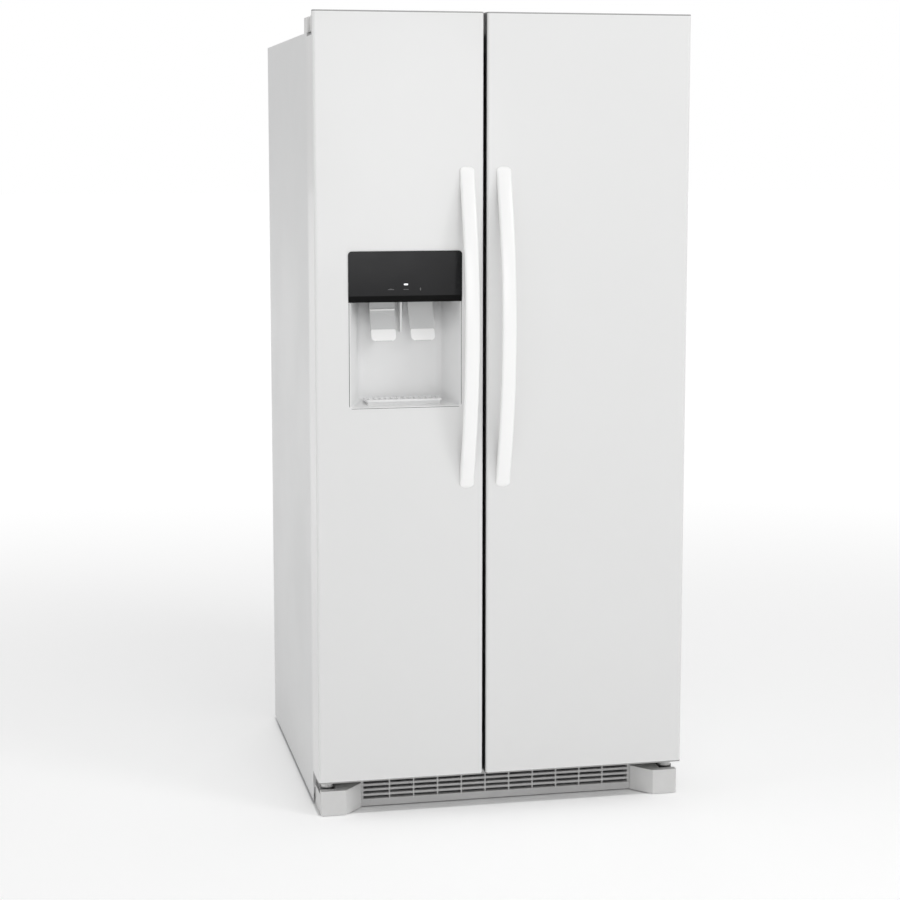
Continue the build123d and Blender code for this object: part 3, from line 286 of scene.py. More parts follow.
def makeDust():
    # Dust that settles on faces that look up, and thins out with height above Low Z.
    tree, given, result = newGroup(
        "settledDust",
        (
            ("Low Z", "NodeSocketFloat", 0.0),
            ("Fade", "NodeSocketFloat", 0.3),
            ("Scale", "NodeSocketFloat", 40.0),
        ),
        ("Mask",),
    )
    point = objectPoint(tree)
    split = tree.nodes.new("ShaderNodeSeparateXYZ")
    tree.links.new(point, split.inputs[0])
    rise = sums(tree, "DIVIDE", sums(tree, "SUBTRACT", split.outputs[2], given.outputs["Low Z"]),
        given.outputs["Fade"])
    low = sums(tree, "SUBTRACT", 1.0, sums(tree, "MINIMUM", sums(tree, "MAXIMUM", rise, 0.0), 1.0))
    facing = tree.nodes.new("ShaderNodeSeparateXYZ")
    tree.links.new(tree.nodes.new("ShaderNodeNewGeometry").outputs["Normal"], facing.inputs[0])
    upward = ramp(tree, facing.outputs[2], 0.3, 1.0)
    patchy = noise(tree, point, given.outputs["Scale"], 5.0)
    lying = sums(tree, "MAXIMUM", sums(tree, "MULTIPLY", low, 0.6), upward)
    tree.links.new(sums(tree, "MULTIPLY", lying, patchy), result.inputs["Mask"])
    return tree


def makeBrushed():
    # Long fine scratches: noise stretched far along one axis by Stretch.
    tree, given, result = newGroup(
        "brushedLines", (("Stretch", "NodeSocketVector", (20, 400, 400)),), ("Height",)
    )
    point = objectPoint(tree)
    scaled = tree.nodes.new("ShaderNodeVectorMath")
    scaled.operation = "MULTIPLY"
    tree.links.new(point, scaled.inputs[0])
    tree.links.new(given.outputs["Stretch"], scaled.inputs[1])
    tree.links.new(noise(tree, scaled.outputs[0], 1.0, 4.0, 0.7), result.inputs["Height"])
    return tree


def makeSpangle():
    # Zinc crystals: each Voronoi cell has its own brightness.
    tree, given, result = newGroup("zincSpangle", (("Scale", "NodeSocketFloat", 90.0),), ("Cell",))
    cells = tree.nodes.new("ShaderNodeTexVoronoi")
    tree.links.new(given.outputs["Scale"], cells.inputs["Scale"])
    tree.links.new(objectPoint(tree), cells.inputs["Vector"])
    split = tree.nodes.new("ShaderNodeSeparateColor")
    tree.links.new(cells.outputs["Color"], split.inputs[0])
    tree.links.new(split.outputs[0], result.inputs["Cell"])
    return tree


def makeInside():
    # One inside the box from Low to High, nought outside: the smallest of the six gaps to its faces.
    tree, given, result = newGroup(
        "insideBox",
        (("Low", "NodeSocketVector", (0, 0, 0)), ("High", "NodeSocketVector", (1, 1, 1))),
        ("Mask",)
    )
    point = objectPoint(tree)
    gaps = []
    for first, second in ((point, given.outputs["Low"]), (given.outputs["High"], point)):
        away = tree.nodes.new("ShaderNodeVectorMath")
        away.operation = "SUBTRACT"
        tree.links.new(first, away.inputs[0])
        tree.links.new(second, away.inputs[1])
        split = tree.nodes.new("ShaderNodeSeparateXYZ")
        tree.links.new(away.outputs[0], split.inputs[0])
        gaps += list(split.outputs)
    smallest = gaps[0]
    for gap in gaps[1:]:
        smallest = sums(tree, "MINIMUM", smallest, gap)
    tree.links.new(ramp(tree, smallest, -0.0002, 0.0002), result.inputs["Mask"])
    return tree


groups = {
    "inside": makeInside(),
    "peel": makePaintPeel(),
    "wear": makeEdgeWear(),
    "smudges": makeSmudges(),
    "dust": makeDust(),
    "brushed": makeBrushed(),
    "spangle": makeSpangle(),
}


def place(tree, group, **values):
    node = tree.nodes.new("ShaderNodeGroup")
    node.node_tree = groups[group]
    for key, value in values.items():
        socketName = {"lowZ": "Low Z", "mottleScale": "Mottle Scale"}.get(key, key[0].upper() + key[1:])
        node.inputs[socketName].default_value = value
    return node


def mixColor(tree, share, first, second):
    node = tree.nodes.new("ShaderNodeMix")
    node.data_type = "RGBA"
    feed(tree, node.inputs["Factor"], share)
    for socketName, value in (("A", first), ("B", second)):
        socket = [s for s in node.inputs if s.name == socketName and s.type == "RGBA"][0]
        feed(tree, socket, value if isinstance(value, bpy.types.NodeSocket) else (*value, 1.0))
    return [s for s in node.outputs if s.type == "RGBA"][0]


# finishes, one for each material slot
# color and shade are mottled into each other; wear shows on the edges, dust where it settles.

plain = {
    "metallic": 0.0, "rough": 0.4, "roughSpread": 0.08, "coat": 0.0, "peel": 300.0,
    "peelHeight": 0.02, "mottle": 3.0, "wear": 0.25, "wearWidth": 0.003, "dust": 0.15,
    "smudge": 0.0, "through": 0.0, "under": 0.0, "spangle": 0.0, "brushed": None, "specular": 0.5,
    "glow": 0.0, "patches": (),
}


def finish(**changes):
    return {**plain, **changes}


finishes = {
    "door_paint": finish(
        color=(0.795, 0.796, 0.793), shade=(0.785, 0.786, 0.783), edge=(0.86, 0.86, 0.855), rough=0.34,
        roughSpread=0.05, coat=0.2, peel=260.0, peelHeight=0.012, mottle=2.0, wear=0.3, dust=0.04,
        smudge=0.12,
    ),
    "cabinet_paint": finish(
        color=(0.73, 0.733, 0.733), shade=(0.715, 0.718, 0.718), edge=(0.80, 0.80, 0.80), rough=0.42,
        peel=420.0, peelHeight=0.05, mottle=2.5, wear=0.3, dust=0.12,
    ),
    "handle_paint": finish(
        color=(0.965, 0.965, 0.96), shade=(0.955, 0.955, 0.95), edge=(0.975, 0.975, 0.97), rough=0.30,
        roughSpread=0.03, coat=0.25, peel=340.0, peelHeight=0.006, wear=0.05, dust=0.0, smudge=0.03,
    ),
    "back_sheet": finish(
        color=(0.58, 0.59, 0.60), shade=(0.52, 0.53, 0.54), edge=(0.72, 0.73, 0.74), metallic=0.55,
        rough=0.46, peel=160.0, peelHeight=0.02, wear=0.5, dust=0.35, spangle=0.10,
    ),
    "galvanised": finish(
        color=(0.56, 0.57, 0.58), shade=(0.46, 0.47, 0.48), edge=(0.75, 0.76, 0.77), metallic=0.85,
        rough=0.42, roughSpread=0.14, peel=200.0, wear=0.4, dust=0.3, spangle=0.3,
    ),
    "hinge_steel": finish(
        color=(0.30, 0.31, 0.32), shade=(0.22, 0.225, 0.23), edge=(0.62, 0.62, 0.62), metallic=0.9,
        rough=0.38, peel=500.0, wear=0.5, wearWidth=0.0015, dust=0.1, brushed=(60, 900, 900),
    ),
    "liner_plastic": finish(
        color=(0.90, 0.905, 0.905), shade=(0.885, 0.89, 0.89), edge=(0.93, 0.93, 0.93), rough=0.26,
        roughSpread=0.03,
        peel=90.0, peelHeight=0.015, mottle=1.5, wear=0.1, dust=0.02, smudge=0.05,
    ),
    "foam": finish(
        color=(0.80, 0.72, 0.50), shade=(0.70, 0.62, 0.42), edge=(0.84, 0.78, 0.58), rough=0.9,
        peel=700.0, peelHeight=0.5, mottle=18.0, dust=0.1,
    ),
    "grille_plastic": finish(
        color=(0.60, 0.60, 0.60), shade=(0.55, 0.55, 0.55), edge=(0.68, 0.68, 0.68), rough=0.5,
        peel=800.0, peelHeight=0.06, mottle=8.0, wear=0.3, dust=0.3,
    ),
    "trim_plastic": finish(
        color=(0.72, 0.72, 0.715), shade=(0.69, 0.69, 0.685), edge=(0.78, 0.78, 0.775), rough=0.44,
        peel=800.0, peelHeight=0.06, mottle=6.0, wear=0.35, dust=0.2,
    ),
    "cap_plastic": finish(
        color=(0.36, 0.36, 0.36), shade=(0.33, 0.33, 0.33), edge=(0.46, 0.46, 0.46), rough=0.45,
        peel=700.0, peelHeight=0.04, wear=0.2, dust=0.2,
    ),
    "compressor_black": finish(
        color=(0.035, 0.035, 0.038), shade=(0.055, 0.055, 0.058), edge=(0.2, 0.2, 0.2), rough=0.34,
        peel=220.0, peelHeight=0.06, mottle=9.0, wear=0.5, dust=0.5,
    ),
    "valve_plastic": finish(
        color=(0.78, 0.77, 0.70), shade=(0.72, 0.71, 0.64), edge=(0.82, 0.81, 0.76), rough=0.42,
        peel=600.0, peelHeight=0.04, dust=0.25,
    ),
    "coil_aluminium": finish(
        color=(0.80, 0.81, 0.82), shade=(0.70, 0.71, 0.72), edge=(0.9, 0.9, 0.9), metallic=1.0,
        rough=0.34, peel=300.0, wear=0.3, dust=0.15, brushed=(700, 700, 40),
    ),
    "wire_white": finish(
        color=(0.90, 0.90, 0.90), shade=(0.86, 0.86, 0.86), edge=(0.92, 0.92, 0.92), rough=0.32,
        coat=0.3, peel=500.0, peelHeight=0.02, dust=0.05,
    ),
    "shelf_glass": finish(
        color=(0.90, 0.96, 0.94), shade=(0.86, 0.94, 0.91), edge=(0.55, 0.78, 0.70), rough=0.03,
        roughSpread=0.03, peel=30.0, peelHeight=0.001, wear=0.8, wearWidth=0.004, dust=0.0,
        smudge=0.25, through=0.95,
    ),
    "lamp_plastic": finish(
        color=(0.93, 0.93, 0.90), shade=(0.90, 0.90, 0.87), edge=(0.95, 0.95, 0.93), rough=0.5,
        peel=900.0, peelHeight=0.05, dust=0.0, glow=0.9,
    ),
    "roller_plastic": finish(
        color=(0.06, 0.06, 0.063), shade=(0.09, 0.09, 0.093), edge=(0.25, 0.25, 0.25), rough=0.55,
        peel=500.0, peelHeight=0.08, mottle=20.0, wear=0.5, dust=0.5,
    ),
    "fan_plastic": finish(
        color=(0.03, 0.03, 0.032), shade=(0.05, 0.05, 0.053), edge=(0.12, 0.12, 0.12), rough=0.42,
        peel=600.0, peelHeight=0.05, dust=0.4,
    ),
    "basket_plastic": finish(
        color=(0.90, 0.91, 0.92), shade=(0.87, 0.88, 0.89), edge=(0.94, 0.94, 0.95), rough=0.28,
        peel=200.0, peelHeight=0.02, under=0.15, dust=0.02, smudge=0.2,
    ),
    "clear_plastic": finish(
        color=(0.955, 0.975, 0.985), shade=(0.94, 0.965, 0.98), edge=(0.98, 0.99, 1.0), rough=0.08,
        roughSpread=0.04, peel=60.0, peelHeight=0.004, wear=0.5, wearWidth=0.004, dust=0.0,
        smudge=0.2, through=0.88,
    ),
    # The gasket's grey is partly its own colour and partly painted shade, darkened so the deep gap between
    # the doors reads dark.
    "gasket": finish(
        color=(0.46, 0.46, 0.455), shade=(0.40, 0.40, 0.395), edge=(0.52, 0.52, 0.51), rough=0.62,
        peel=900.0, peelHeight=0.06, mottle=14.0, dust=0.1,
    ),
    "dispenser_plastic": finish(
        color=(0.86, 0.862, 0.862), shade=(0.84, 0.842, 0.842), edge=(0.90, 0.90, 0.90), rough=0.4,
        peel=900.0, peelHeight=0.04, mottle=7.0, wear=0.2, dust=0.08,
    ),
    "panel_black": finish(
        color=(0.009, 0.009, 0.010), shade=(0.013, 0.013, 0.014), edge=(0.04, 0.04, 0.04), rough=0.16,
        roughSpread=0.08, peel=120.0, peelHeight=0.003, wear=0.3, wearWidth=0.0012, dust=0.02,
        smudge=0.7, specular=0.22,
    ),
    "paddle_plastic": finish(
        color=(0.66, 0.665, 0.665), shade=(0.62, 0.625, 0.625), edge=(0.76, 0.76, 0.76), rough=0.28,
        peel=300.0, peelHeight=0.02, wear=0.3, dust=0.0,
    ),
    "flap_plastic": finish(
        color=(0.46, 0.465, 0.465), shade=(0.42, 0.425, 0.425), edge=(0.52, 0.52, 0.52), rough=0.48,
        peel=500.0, peelHeight=0.04, dust=0.0,
    ),
}


def makeMaterial(name, look, low, high):
    material = bpy.data.materials.new(name)
    material.use_nodes = True
    tree = material.node_tree
    shader = tree.nodes["Principled BSDF"]
    shader.inputs["Metallic"].default_value = look["metallic"]
    shader.inputs["Coat Weight"].default_value = look["coat"]
    shader.inputs["Coat Roughness"].default_value = 0.08
    shader.inputs["Specular IOR Level"].default_value = look["specular"]
    shader.inputs["Transmission Weight"].default_value = look["through"]
    shader.inputs["Subsurface Weight"].default_value = look["under"]
    shader.inputs["Subsurface Scale"].default_value = 0.004
    shader.inputs["Emission Color"].default_value = (*look["color"], 1.0)
    shader.inputs["Emission Strength"].default_value = look["glow"]
    peel = place(tree, "peel", scale=look["peel"], mottleScale=look["mottle"])
    wear = place(tree, "wear", low=tuple(low), high=tuple(high), width=look["wearWidth"])
    color = mixColor(tree, peel.outputs["Mottle"], look["color"], look["shade"])
    rough = ramp(
        tree, peel.outputs["Mottle"], 0.0, 1.0,
        look["rough"] - look["roughSpread"] / 2, look["rough"] + look["roughSpread"] / 2,
    )
    if look["spangle"]:
        cell = place(tree, "spangle").outputs["Cell"]
        lighter = tuple(min(1.0, c * 1.35) for c in look["color"])
        color = mixColor(tree, sums(tree, "MULTIPLY", cell, look["spangle"]), color, lighter)
        rough = sums(tree, "ADD", rough, sums(tree, "MULTIPLY", cell, look["spangle"] * 0.3))
    if look["smudge"]:
        mask = place(tree, "smudges").outputs["Mask"]
        rough = sums(tree, "ADD", rough, sums(tree, "MULTIPLY", mask, look["smudge"] * 0.2))
    color = mixColor(
        tree, sums(tree, "MULTIPLY", wear.outputs["Mask"], look["wear"]), color, look["edge"]
    )
    for patchLow, patchHigh, patchColor in look["patches"]:
        mask = place(tree, "inside", low=patchLow, high=patchHigh).outputs["Mask"]
        color = mixColor(tree, mask, color, patchColor)
    if look["dust"]:
        mask = place(tree, "dust", lowZ=float(cadLow.z)).outputs["Mask"]
        share = sums(tree, "MULTIPLY", mask, look["dust"])
        color = mixColor(tree, share, color, (0.42, 0.40, 0.37))
        rough = sums(tree, "ADD", rough, sums(tree, "MULTIPLY", share, 0.5))
    tree.links.new(color, shader.inputs["Base Color"])
    tree.links.new(rough, shader.inputs["Roughness"])
    height = peel.outputs["Height"]
    if look["brushed"]:
        height = place(tree, "brushed", stretch=look["brushed"]).outputs["Height"]
    bump = tree.nodes.new("ShaderNodeBump")
    bump.inputs["Strength"].default_value = min(1.0, look["peelHeight"] * 8)
    bump.inputs["Distance"].default_value = 0.0006
    tree.links.new(height, bump.inputs["Height"])
    tree.links.new(bump.outputs["Normal"], shader.inputs["Normal"])
    return material


addStudio(studioPlan)
print("camera and studio set")

slotOf = {row["node"]: row["material_slot"] for row in frame["record"]["subparts"]}
# Boxes of another colour within a node: painted shade down the latch edges, standing in for the dark gap
# between the doors; pale closer cams.
patches = {
    # Near-black strips on both doors' latch-side faces: painted shade for the deep gap between the doors.
    "freezer_door_skin": (((-0.0486, -0.3735, 0.0), (-0.04, -0.20, 2.0), (0.07, 0.07, 0.072)),),
    "fresh_food_door_skin": (((-0.05, -0.3735, 0.0), (-0.0394, -0.20, 2.0), (0.07, 0.07, 0.072)),),
    "lower_hinges": (
        ((-0.42, -0.36, 0.0610), (-0.37, -0.30, 0.079), (0.86, 0.86, 0.85)),
        ((0.37, -0.36, 0.0610), (0.42, -0.30, 0.079), (0.86, 0.86, 0.85)),
    ),
}
for node, piece in sorted(frame["nodes"].items()):
    look = {**finishes[slotOf[node]], "patches": patches.get(node, ())}
    if node == "lower_hinges":
        look.update(color=(0.03, 0.03, 0.032), shade=(0.045, 0.045, 0.047), edge=(0.2, 0.2, 0.2),
            metallic=0.0)
    low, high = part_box(node)
    piece.data.materials.clear()
    piece.data.materials.append(makeMaterial(node + "_" + slotOf[node], look, low, high))
print("finishes made:", len(frame["nodes"]))


# surfaces worked out on grids

def gridQuads(rows, cols, wrapRows):
    # Each quad joins a point to its neighbours along both parameters; columns always wrap.
    row = np.arange(rows if wrapRows else rows - 1)[:, None]
    col = np.arange(cols)[None, :]
    nextRow, nextCol = (row + 1) % rows, (col + 1) % cols
    quads = np.stack(np.broadcast_arrays(
        row * cols + col, row * cols + nextCol, nextRow * cols + nextCol, nextRow * cols + col
    ), -1)
    return quads.reshape(-1, 4)


def roundedLoop(halfX, halfY, radius, steps):
    # Four corner arcs, each its corner's centre plus radius times (cos, sin); the straight
    # sides are what joins them. Half sizes and radius may be arrays, one loop for each.
    halfX, halfY, radius = (np.atleast_1d(np.asarray(v, float))[:, None] for v in (halfX, halfY, radius))
    radius = np.minimum(radius, np.minimum(halfX, halfY))
    turn = (np.linspace(0, math.pi / 2, steps)[None, :] + np.arange(4)[:, None] * math.pi / 2).ravel()
    signX = np.repeat([1, -1, -1, 1], steps)
    signY = np.repeat([1, 1, -1, -1], steps)
    return (
        signX * (halfX - radius) + radius * np.cos(turn),
        signY * (halfY - radius) + radius * np.sin(turn),
    )


def ringStack(rings, axis="z", steps=7, wrapRows=False):
    # Each ring is (centre a, centre b, half a, half b, corner radius, level): a rounded
    # rectangle across the axis, and the surface runs from ring to ring.
    rings = np.asarray(rings, float)
    loopA, loopB = roundedLoop(rings[:, 2], rings[:, 3], rings[:, 4], steps)
    a = loopA + rings[:, :1]
    b = loopB + rings[:, 1:2]
    level = np.broadcast_to(rings[:, 5:6], a.shape)
    order = {"x": (level, a, b), "y": (a, level, b), "z": (a, b, level)}[axis]
    points = np.stack(order, -1)
    return points.reshape(-1, 3), gridQuads(len(rings), a.shape[1], wrapRows)


def carried(path, side, normal, halfWide, halfThick, radius, steps=5, crown=0.0, dish=0.0):
    # A rounded rectangle carried along a path: each point is path + side * across + normal * up.
    # The crown lifts the upper face, and the dish sinks both, by 1 - (across / half width) squared.
    # Both ends close on their middle.
    path, side, normal = (
        np.broadcast_to(np.asarray(v, float), (len(path), 3)) for v in (path, side, normal)
    )
    across, up = roundedLoop(
        *np.broadcast_arrays(halfWide, halfThick, radius, np.zeros(len(path)))[:3], steps
    )
    width = np.maximum(np.abs(across).max(1, keepdims=True), 1e-6)
    up = (
        up + np.where(up > 0, crown * (1 - (across / width) ** 2), 0.0)
        - dish * (1 - (across / width) ** 2)
    )
    loops = path[:, None, :] + side[:, None, :] * across[..., None] + normal[:, None, :] * up[..., None]
    ends = [np.broadcast_to(loops[i].mean(0), loops[i].shape) for i in (0, -1)]
    loops = np.concatenate([ends[0][None], loops, ends[1][None]])
    return loops.reshape(-1, 3), gridQuads(len(path) + 2, loops.shape[1], False)


def addPiece(name, parts, body, slotName, replaced=(), look=None, sharp=32.0, turn=True):
    # Joins the surfaces of one piece, closes its poles and turns its faces outwards.
    points = np.concatenate([p for p, q in parts])
    starts = np.cumsum([0] + [len(p) for p, q in parts[:-1]])
    quads = np.concatenate([q + start for (p, q), start in zip(parts, starts)])
    mesh = bpy.data.meshes.new(name)
    mesh.vertices.add(len(points))
    mesh.vertices.foreach_set("co", points.astype(np.float32).ravel())
    mesh.loops.add(quads.size)
    mesh.loops.foreach_set("vertex_index", quads.astype(np.int32).ravel())
    mesh.polygons.add(len(quads))
    mesh.polygons.foreach_set("loop_start", np.arange(len(quads), dtype=np.int32) * 4)
    mesh.update(calc_edges=True)
    work = bmesh.new()
    work.from_mesh(mesh)
    bmesh.ops.remove_doubles(work, verts=work.verts, dist=0.00001)
    bmesh.ops.dissolve_degenerate(work, edges=work.edges, dist=0.000005)
    if turn:
        bmesh.ops.recalc_face_normals(work, faces=work.faces)
    work.to_mesh(mesh)
    work.free()
    mesh.polygons.foreach_set("use_smooth", np.ones(len(mesh.polygons), bool))
    mesh.set_sharp_from_angle(angle=math.radians(sharp))
    piece = bpy.data.objects.new(name, mesh)
    bpy.context.scene.collection.objects.link(piece)
    low, high = points.min(0), points.max(0)
    mesh.materials.append(makeMaterial(name + "Finish", look or finishes[slotName], low, high))
    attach(piece, body)
    if replaced:
        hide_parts(*replaced)
    return piece


def edgeRings(centre, half, radius, fromLevel, toLevel, edge, count=4):
    # Rings of a solid between two levels, both its ends eased by a quarter round of that size.
    cx, cy = centre
    way = 1.0 if toLevel > fromLevel else -1.0
    turn = np.linspace(0, math.pi / 2, count)
    inset = edge * (1 - np.sin(turn))
    rise = edge * (1 - np.cos(turn))
    rows = [(cx, cy, 0, 0, 0, fromLevel)]
    rows += [
        (cx, cy, half[0] - i, half[1] - i, max(radius - i, 0), fromLevel + way * r)
        for i, r in zip(inset, rise)
    ]
    rows += [(cx, cy, half[0] - i, half[1] - i, max(radius - i, 0), toLevel - way * r)
             for i, r in zip(inset[::-1], rise[::-1])]
    rows += [(cx, cy, 0, 0, 0, toLevel)]
    return rows


def trayRings(low, high, radius, wall, draft, rim=0.0):
    # A tray: out across its underside, up the outside, over the rim, down inside, back to the middle.
    cx, cy = (low[0] + high[0]) / 2, (low[1] + high[1]) / 2
    hx, hy = (high[0] - low[0]) / 2, (high[1] - low[1]) / 2
    foot = 3 * wall
    rows = [(cx, cy, 0, 0, 0, low[2])]
    for turn in np.linspace(0, math.pi / 2, 5):
        i = draft + foot * (1 - math.sin(turn))
        rows.append((cx, cy, hx - i, hy - i, max(radius - i + draft, wall),
            low[2] + foot * (1 - math.cos(turn))))
    rows.append((cx, cy, hx - rim, hy - rim, radius, high[2] - 2 * wall - 0.002))
    rows.append((cx, cy, hx, hy, radius + rim, high[2] - 2 * wall))
    for turn in np.linspace(0, math.pi, 6):
        i = wall / 2 * (1 - math.cos(turn)) + rim / 2 * (1 - math.cos(turn))
        rows.append((cx, cy, hx - i, hy - i, radius + rim - i,
            high[2] - wall / 2 + wall / 2 * math.sin(turn)))
    for turn in np.linspace(0, math.pi / 2, 5):
        i = wall + draft + (foot - wall) * (1 - math.cos(turn))
        rows.append((cx, cy, hx - i, hy - i, max(radius - i + draft, wall),
            low[2] + foot - (foot - wall) * math.sin(turn)))
    rows.append((cx, cy, 0, 0, 0, low[2] + wall))
    return rows


# handles: a bowed bar whose outer and inner faces are arcs landing on the door

handlePlan = {"thick": 0.013, "footRun": 0.044, "endRun": 0.0085, "edge": 0.0045, "crown": 0.0022,
    "steps": 96}


def bow(z, low, high, base, peak):
    # The circle through (base, low), (peak, middle) and (base, high), read at height z.
    half, rise = (high - low) / 2, abs(peak - base)
    radius = (half ** 2 + rise ** 2) / (2 * rise)
    reach = np.sqrt(np.maximum(radius ** 2 - (z - (low + high) / 2) ** 2, 0)) - (radius - rise)
    return base + math.copysign(1.0, peak - base) * np.maximum(reach, 0)


def makeHandle(node, body):
    plan = handlePlan
    low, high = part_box(node)
    middleX = (low.x + high.x) / 2
    z = low.z + (high.z - low.z) * (1 - np.cos(np.linspace(0, math.pi, plan["steps"]))) / 2
    outer = bow(z, low.z, high.z, high.y, low.y + plan["crown"])
    inner = bow(z, low.z + plan["footRun"], high.z - plan["footRun"], high.y, low.y + plan["thick"])
    inner = np.where((z < low.z + plan["footRun"]) | (z > high.z - plan["footRun"]), high.y, inner)
    thick = np.maximum(inner - outer, 0.0008)
    fromEnd = np.minimum(z - low.z, high.z - z)
    # Each end is half an ellipse, as wide as the bar and endRun long.
    short = np.maximum(1 - fromEnd / plan["endRun"], 0)
    wide = (high.x - low.x) / 2 * np.sqrt(np.maximum(1 - short ** 2, 0.0))
    path = np.stack([np.full_like(z, middleX), inner - thick / 2, z], 1)
    bar = carried(
        path, (1, 0, 0), (0, -1, 0), wide, thick / 2,
        np.minimum(plan["edge"], thick / 2), 6, plan["crown"],
    )
    addPiece(node + "_bar", [bar], body, "handle_paint", (node,), sharp=50.0)


makeHandle("freezer_handle", "freezer_door")
makeHandle("fresh_food_handle", "fresh_food_door")
print("handles made")




def metres(*values):
    return tuple(v / 1000 for v in values)


# Storage trays: smooth walls that lean out, rounded corners and a rolled rim.
binPlan = {
    "wall": 0.0025, "radius": 0.018, "draft": 0.004, "rim": 0.0012,
    "freezer_door_bins": {"levels": (0.450, 0.690, 1.550), "tall": 0.090},
    "fresh_food_door_bins": {"levels": (0.450, 0.730, 1.010), "tall": 0.090,
        "dairy": (1.400, 0.036, -0.2345)},
}


def makeDoorBins(node, body):
    plan = binPlan[node]
    low, high = (np.array(c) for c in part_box(node))
    parts = []
    for level in plan["levels"]:
        top = level + plan["tall"]
        rings = trayRings(
            (low[0], low[1] + 0.0004, level), (high[0], high[1], top), binPlan["radius"], binPlan["wall"],
            binPlan["draft"], binPlan["rim"],
        )
        parts.append(ringStack(rings))
    if "dairy" in plan:
        level, tall, reach = plan["dairy"]
        rings = trayRings(
            (low[0], low[1] + 0.0004, level), (high[0], reach, level + tall), 0.010, binPlan["wall"],
            0.002, 0.0,
        )
        parts.append(ringStack(rings))
    addPiece(node + "_clear", parts, body, "clear_plastic", (node,))


makeDoorBins("freezer_door_bins", "freezer_door")
makeDoorBins("fresh_food_door_bins", "fresh_food_door")


def hookPull(x0, x1, y, z, reach, drop, sheet=0.003):
    # A lip that runs forward and turns down: a quarter circle joined to two straight runs.
    turn = np.linspace(0, math.pi / 2, 6)
    bend = 0.006
    ys = np.concatenate([[y + 0.001], y - reach + bend - bend * np.sin(turn), [y - reach]])
    zs = np.concatenate([[z], z - bend + bend * np.cos(turn), [z - drop]])
    path = np.stack([np.full_like(ys, (x0 + x1) / 2), ys, zs], 1)
    run = np.gradient(path, axis=0)
    run /= np.linalg.norm(run, axis=1, keepdims=True)
    normal = np.cross(run, (1.0, 0.0, 0.0))
    count = len(ys)
    half = np.full(count, (x1 - x0) / 2)
    half[-1] -= sheet / 2
    return carried(path, (1, 0, 0), normal, half,
        np.full(count, sheet / 2), np.full(count, sheet * 0.45), 3)


drawerPlan = {"wall": 0.003, "radius": 0.014, "draft": 0.003, "rim": 0.0015}


def makeDrawer(node, slotName, clearFront):
    plan = drawerPlan
    low, high = (np.array(c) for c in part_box(node))
    front = -0.150
    trayLow = (low[0] + 0.0005, front + 0.0005, low[2])
    rings = trayRings(trayLow, (high[0] - 0.0005, high[1], high[2]), plan["radius"], plan["wall"],
        plan["draft"], plan["rim"])
    parts = [ringStack(rings)]
    middle = (low[0] + high[0]) / 2
    centre = (middle, (low[2] + high[2]) / 2)
    half = ((high[0] - low[0]) / 2, (high[2] - low[2]) / 2)
    if clearFront:
        plate = edgeRings(centre, half, 0.010, front, front - 0.006, 0.0024)
        parts.append(ringStack(plate, "y"))
        parts.append(hookPull(middle - 0.090, middle + 0.090, front - 0.006, high[2] - 0.022,
            0.0085, 0.018))
    else:
        parts.append(hookPull(low[0] + 0.004, high[0] - 0.004, front + 0.001, high[2] - 0.0235,
            0.0095, 0.0))
        parts.append(hookPull(low[0] + 0.004, high[0] - 0.004, front + 0.001, high[2] - 0.0015,
            0.0095, 0.020))
    addPiece(node + "_tub", parts, node, slotName, (node,))


for word in ("lower", "upper"):
    makeDrawer("crisper_drawer_" + word, "clear_plastic", True)
    makeDrawer("freezer_basket_" + word, "basket_plastic", False)
print("bins, drawers and baskets made")


# Shelf frames: one closed profile carried round each glass, thick at its outer edge.
shelfPlan = {"levels": (0.440, 0.720, 1.000, 1.290), "radius": 0.010}


def makeShelfFrames(node):
    low, high = (np.array(c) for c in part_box(node))
    cx, cy = (low[0] + high[0]) / 2, (low[1] + high[1]) / 2
    hx, hy = (high[0] - low[0]) / 2, (high[1] - low[1]) / 2
    profile = np.array(metres(
        0, 4, 1.2, 1.2, 4, 0, 12.5, 0, 14, 1.5, 14, 12, 12.5, 13.8, 5.9, 13.8, 5.9, 17.6, 4.5, 18,
        1.5, 17.6, 0, 15.5
    )).reshape(-1, 2)
    parts = []
    for level in shelfPlan["levels"]:
        rows = [
            (cx, cy, hx - i, hy - i, max(shelfPlan["radius"] - i, 0.001), level + z)
            for i, z in profile
        ]
        parts.append(ringStack(rows, steps=5, wrapRows=True))
    addPiece(node + "_trim", parts, "cabinet", "trim_plastic", (node,),
        look=finishes["basket_plastic"], sharp=40.0)


makeShelfFrames("shelf_frames")


# Gaskets: a bellows section carried round the door, its magnet bead against the cabinet.
def makeGasket(node, body):
    low, high = (np.array(c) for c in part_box(node))
    cx, cz = (low[0] + high[0]) / 2, (low[2] + high[2]) / 2
    hx, hz = (high[0] - low[0]) / 2, (high[2] - low[2]) / 2
    profile = np.array(metres(
        3.2, -288.5, 1.4, -287.6, 0.9, -286.6, 1.6, -285.6, 2.6, -284.8, 1.4, -284.0, 0.3, -282.6,
        0, -280.8,
        0.2, -278.6, 1.2, -277.3, 2.6, -276.9, 13.4, -276.9, 14.8, -277.3, 15.8, -278.6, 16, -280.8,
        15.7, -282.6, 14.6, -284.0, 13.4, -284.8, 14.4, -285.6, 15.1, -286.6, 14.6, -287.6, 12.8, -288.5
    )).reshape(-1, 2)
    rows = [(cx, cz, hx - i, hz - i, 0.0015, y) for i, y in profile]
    addPiece(node + "_bellows", [ringStack(rows, "y", 2, True)], body, "gasket", (node,), sharp=60.0)


makeGasket("freezer_door_gasket", "freezer_door")
makeGasket("fresh_food_door_gasket", "fresh_food_door")
print("shelf frames and gaskets made")


# Ice auger: a flat band carried along a helix round its shaft.
augerPlan = {"turns": 9.0, "inner": 0.005, "outer": 0.030, "sheet": 0.0016, "steps": 24}


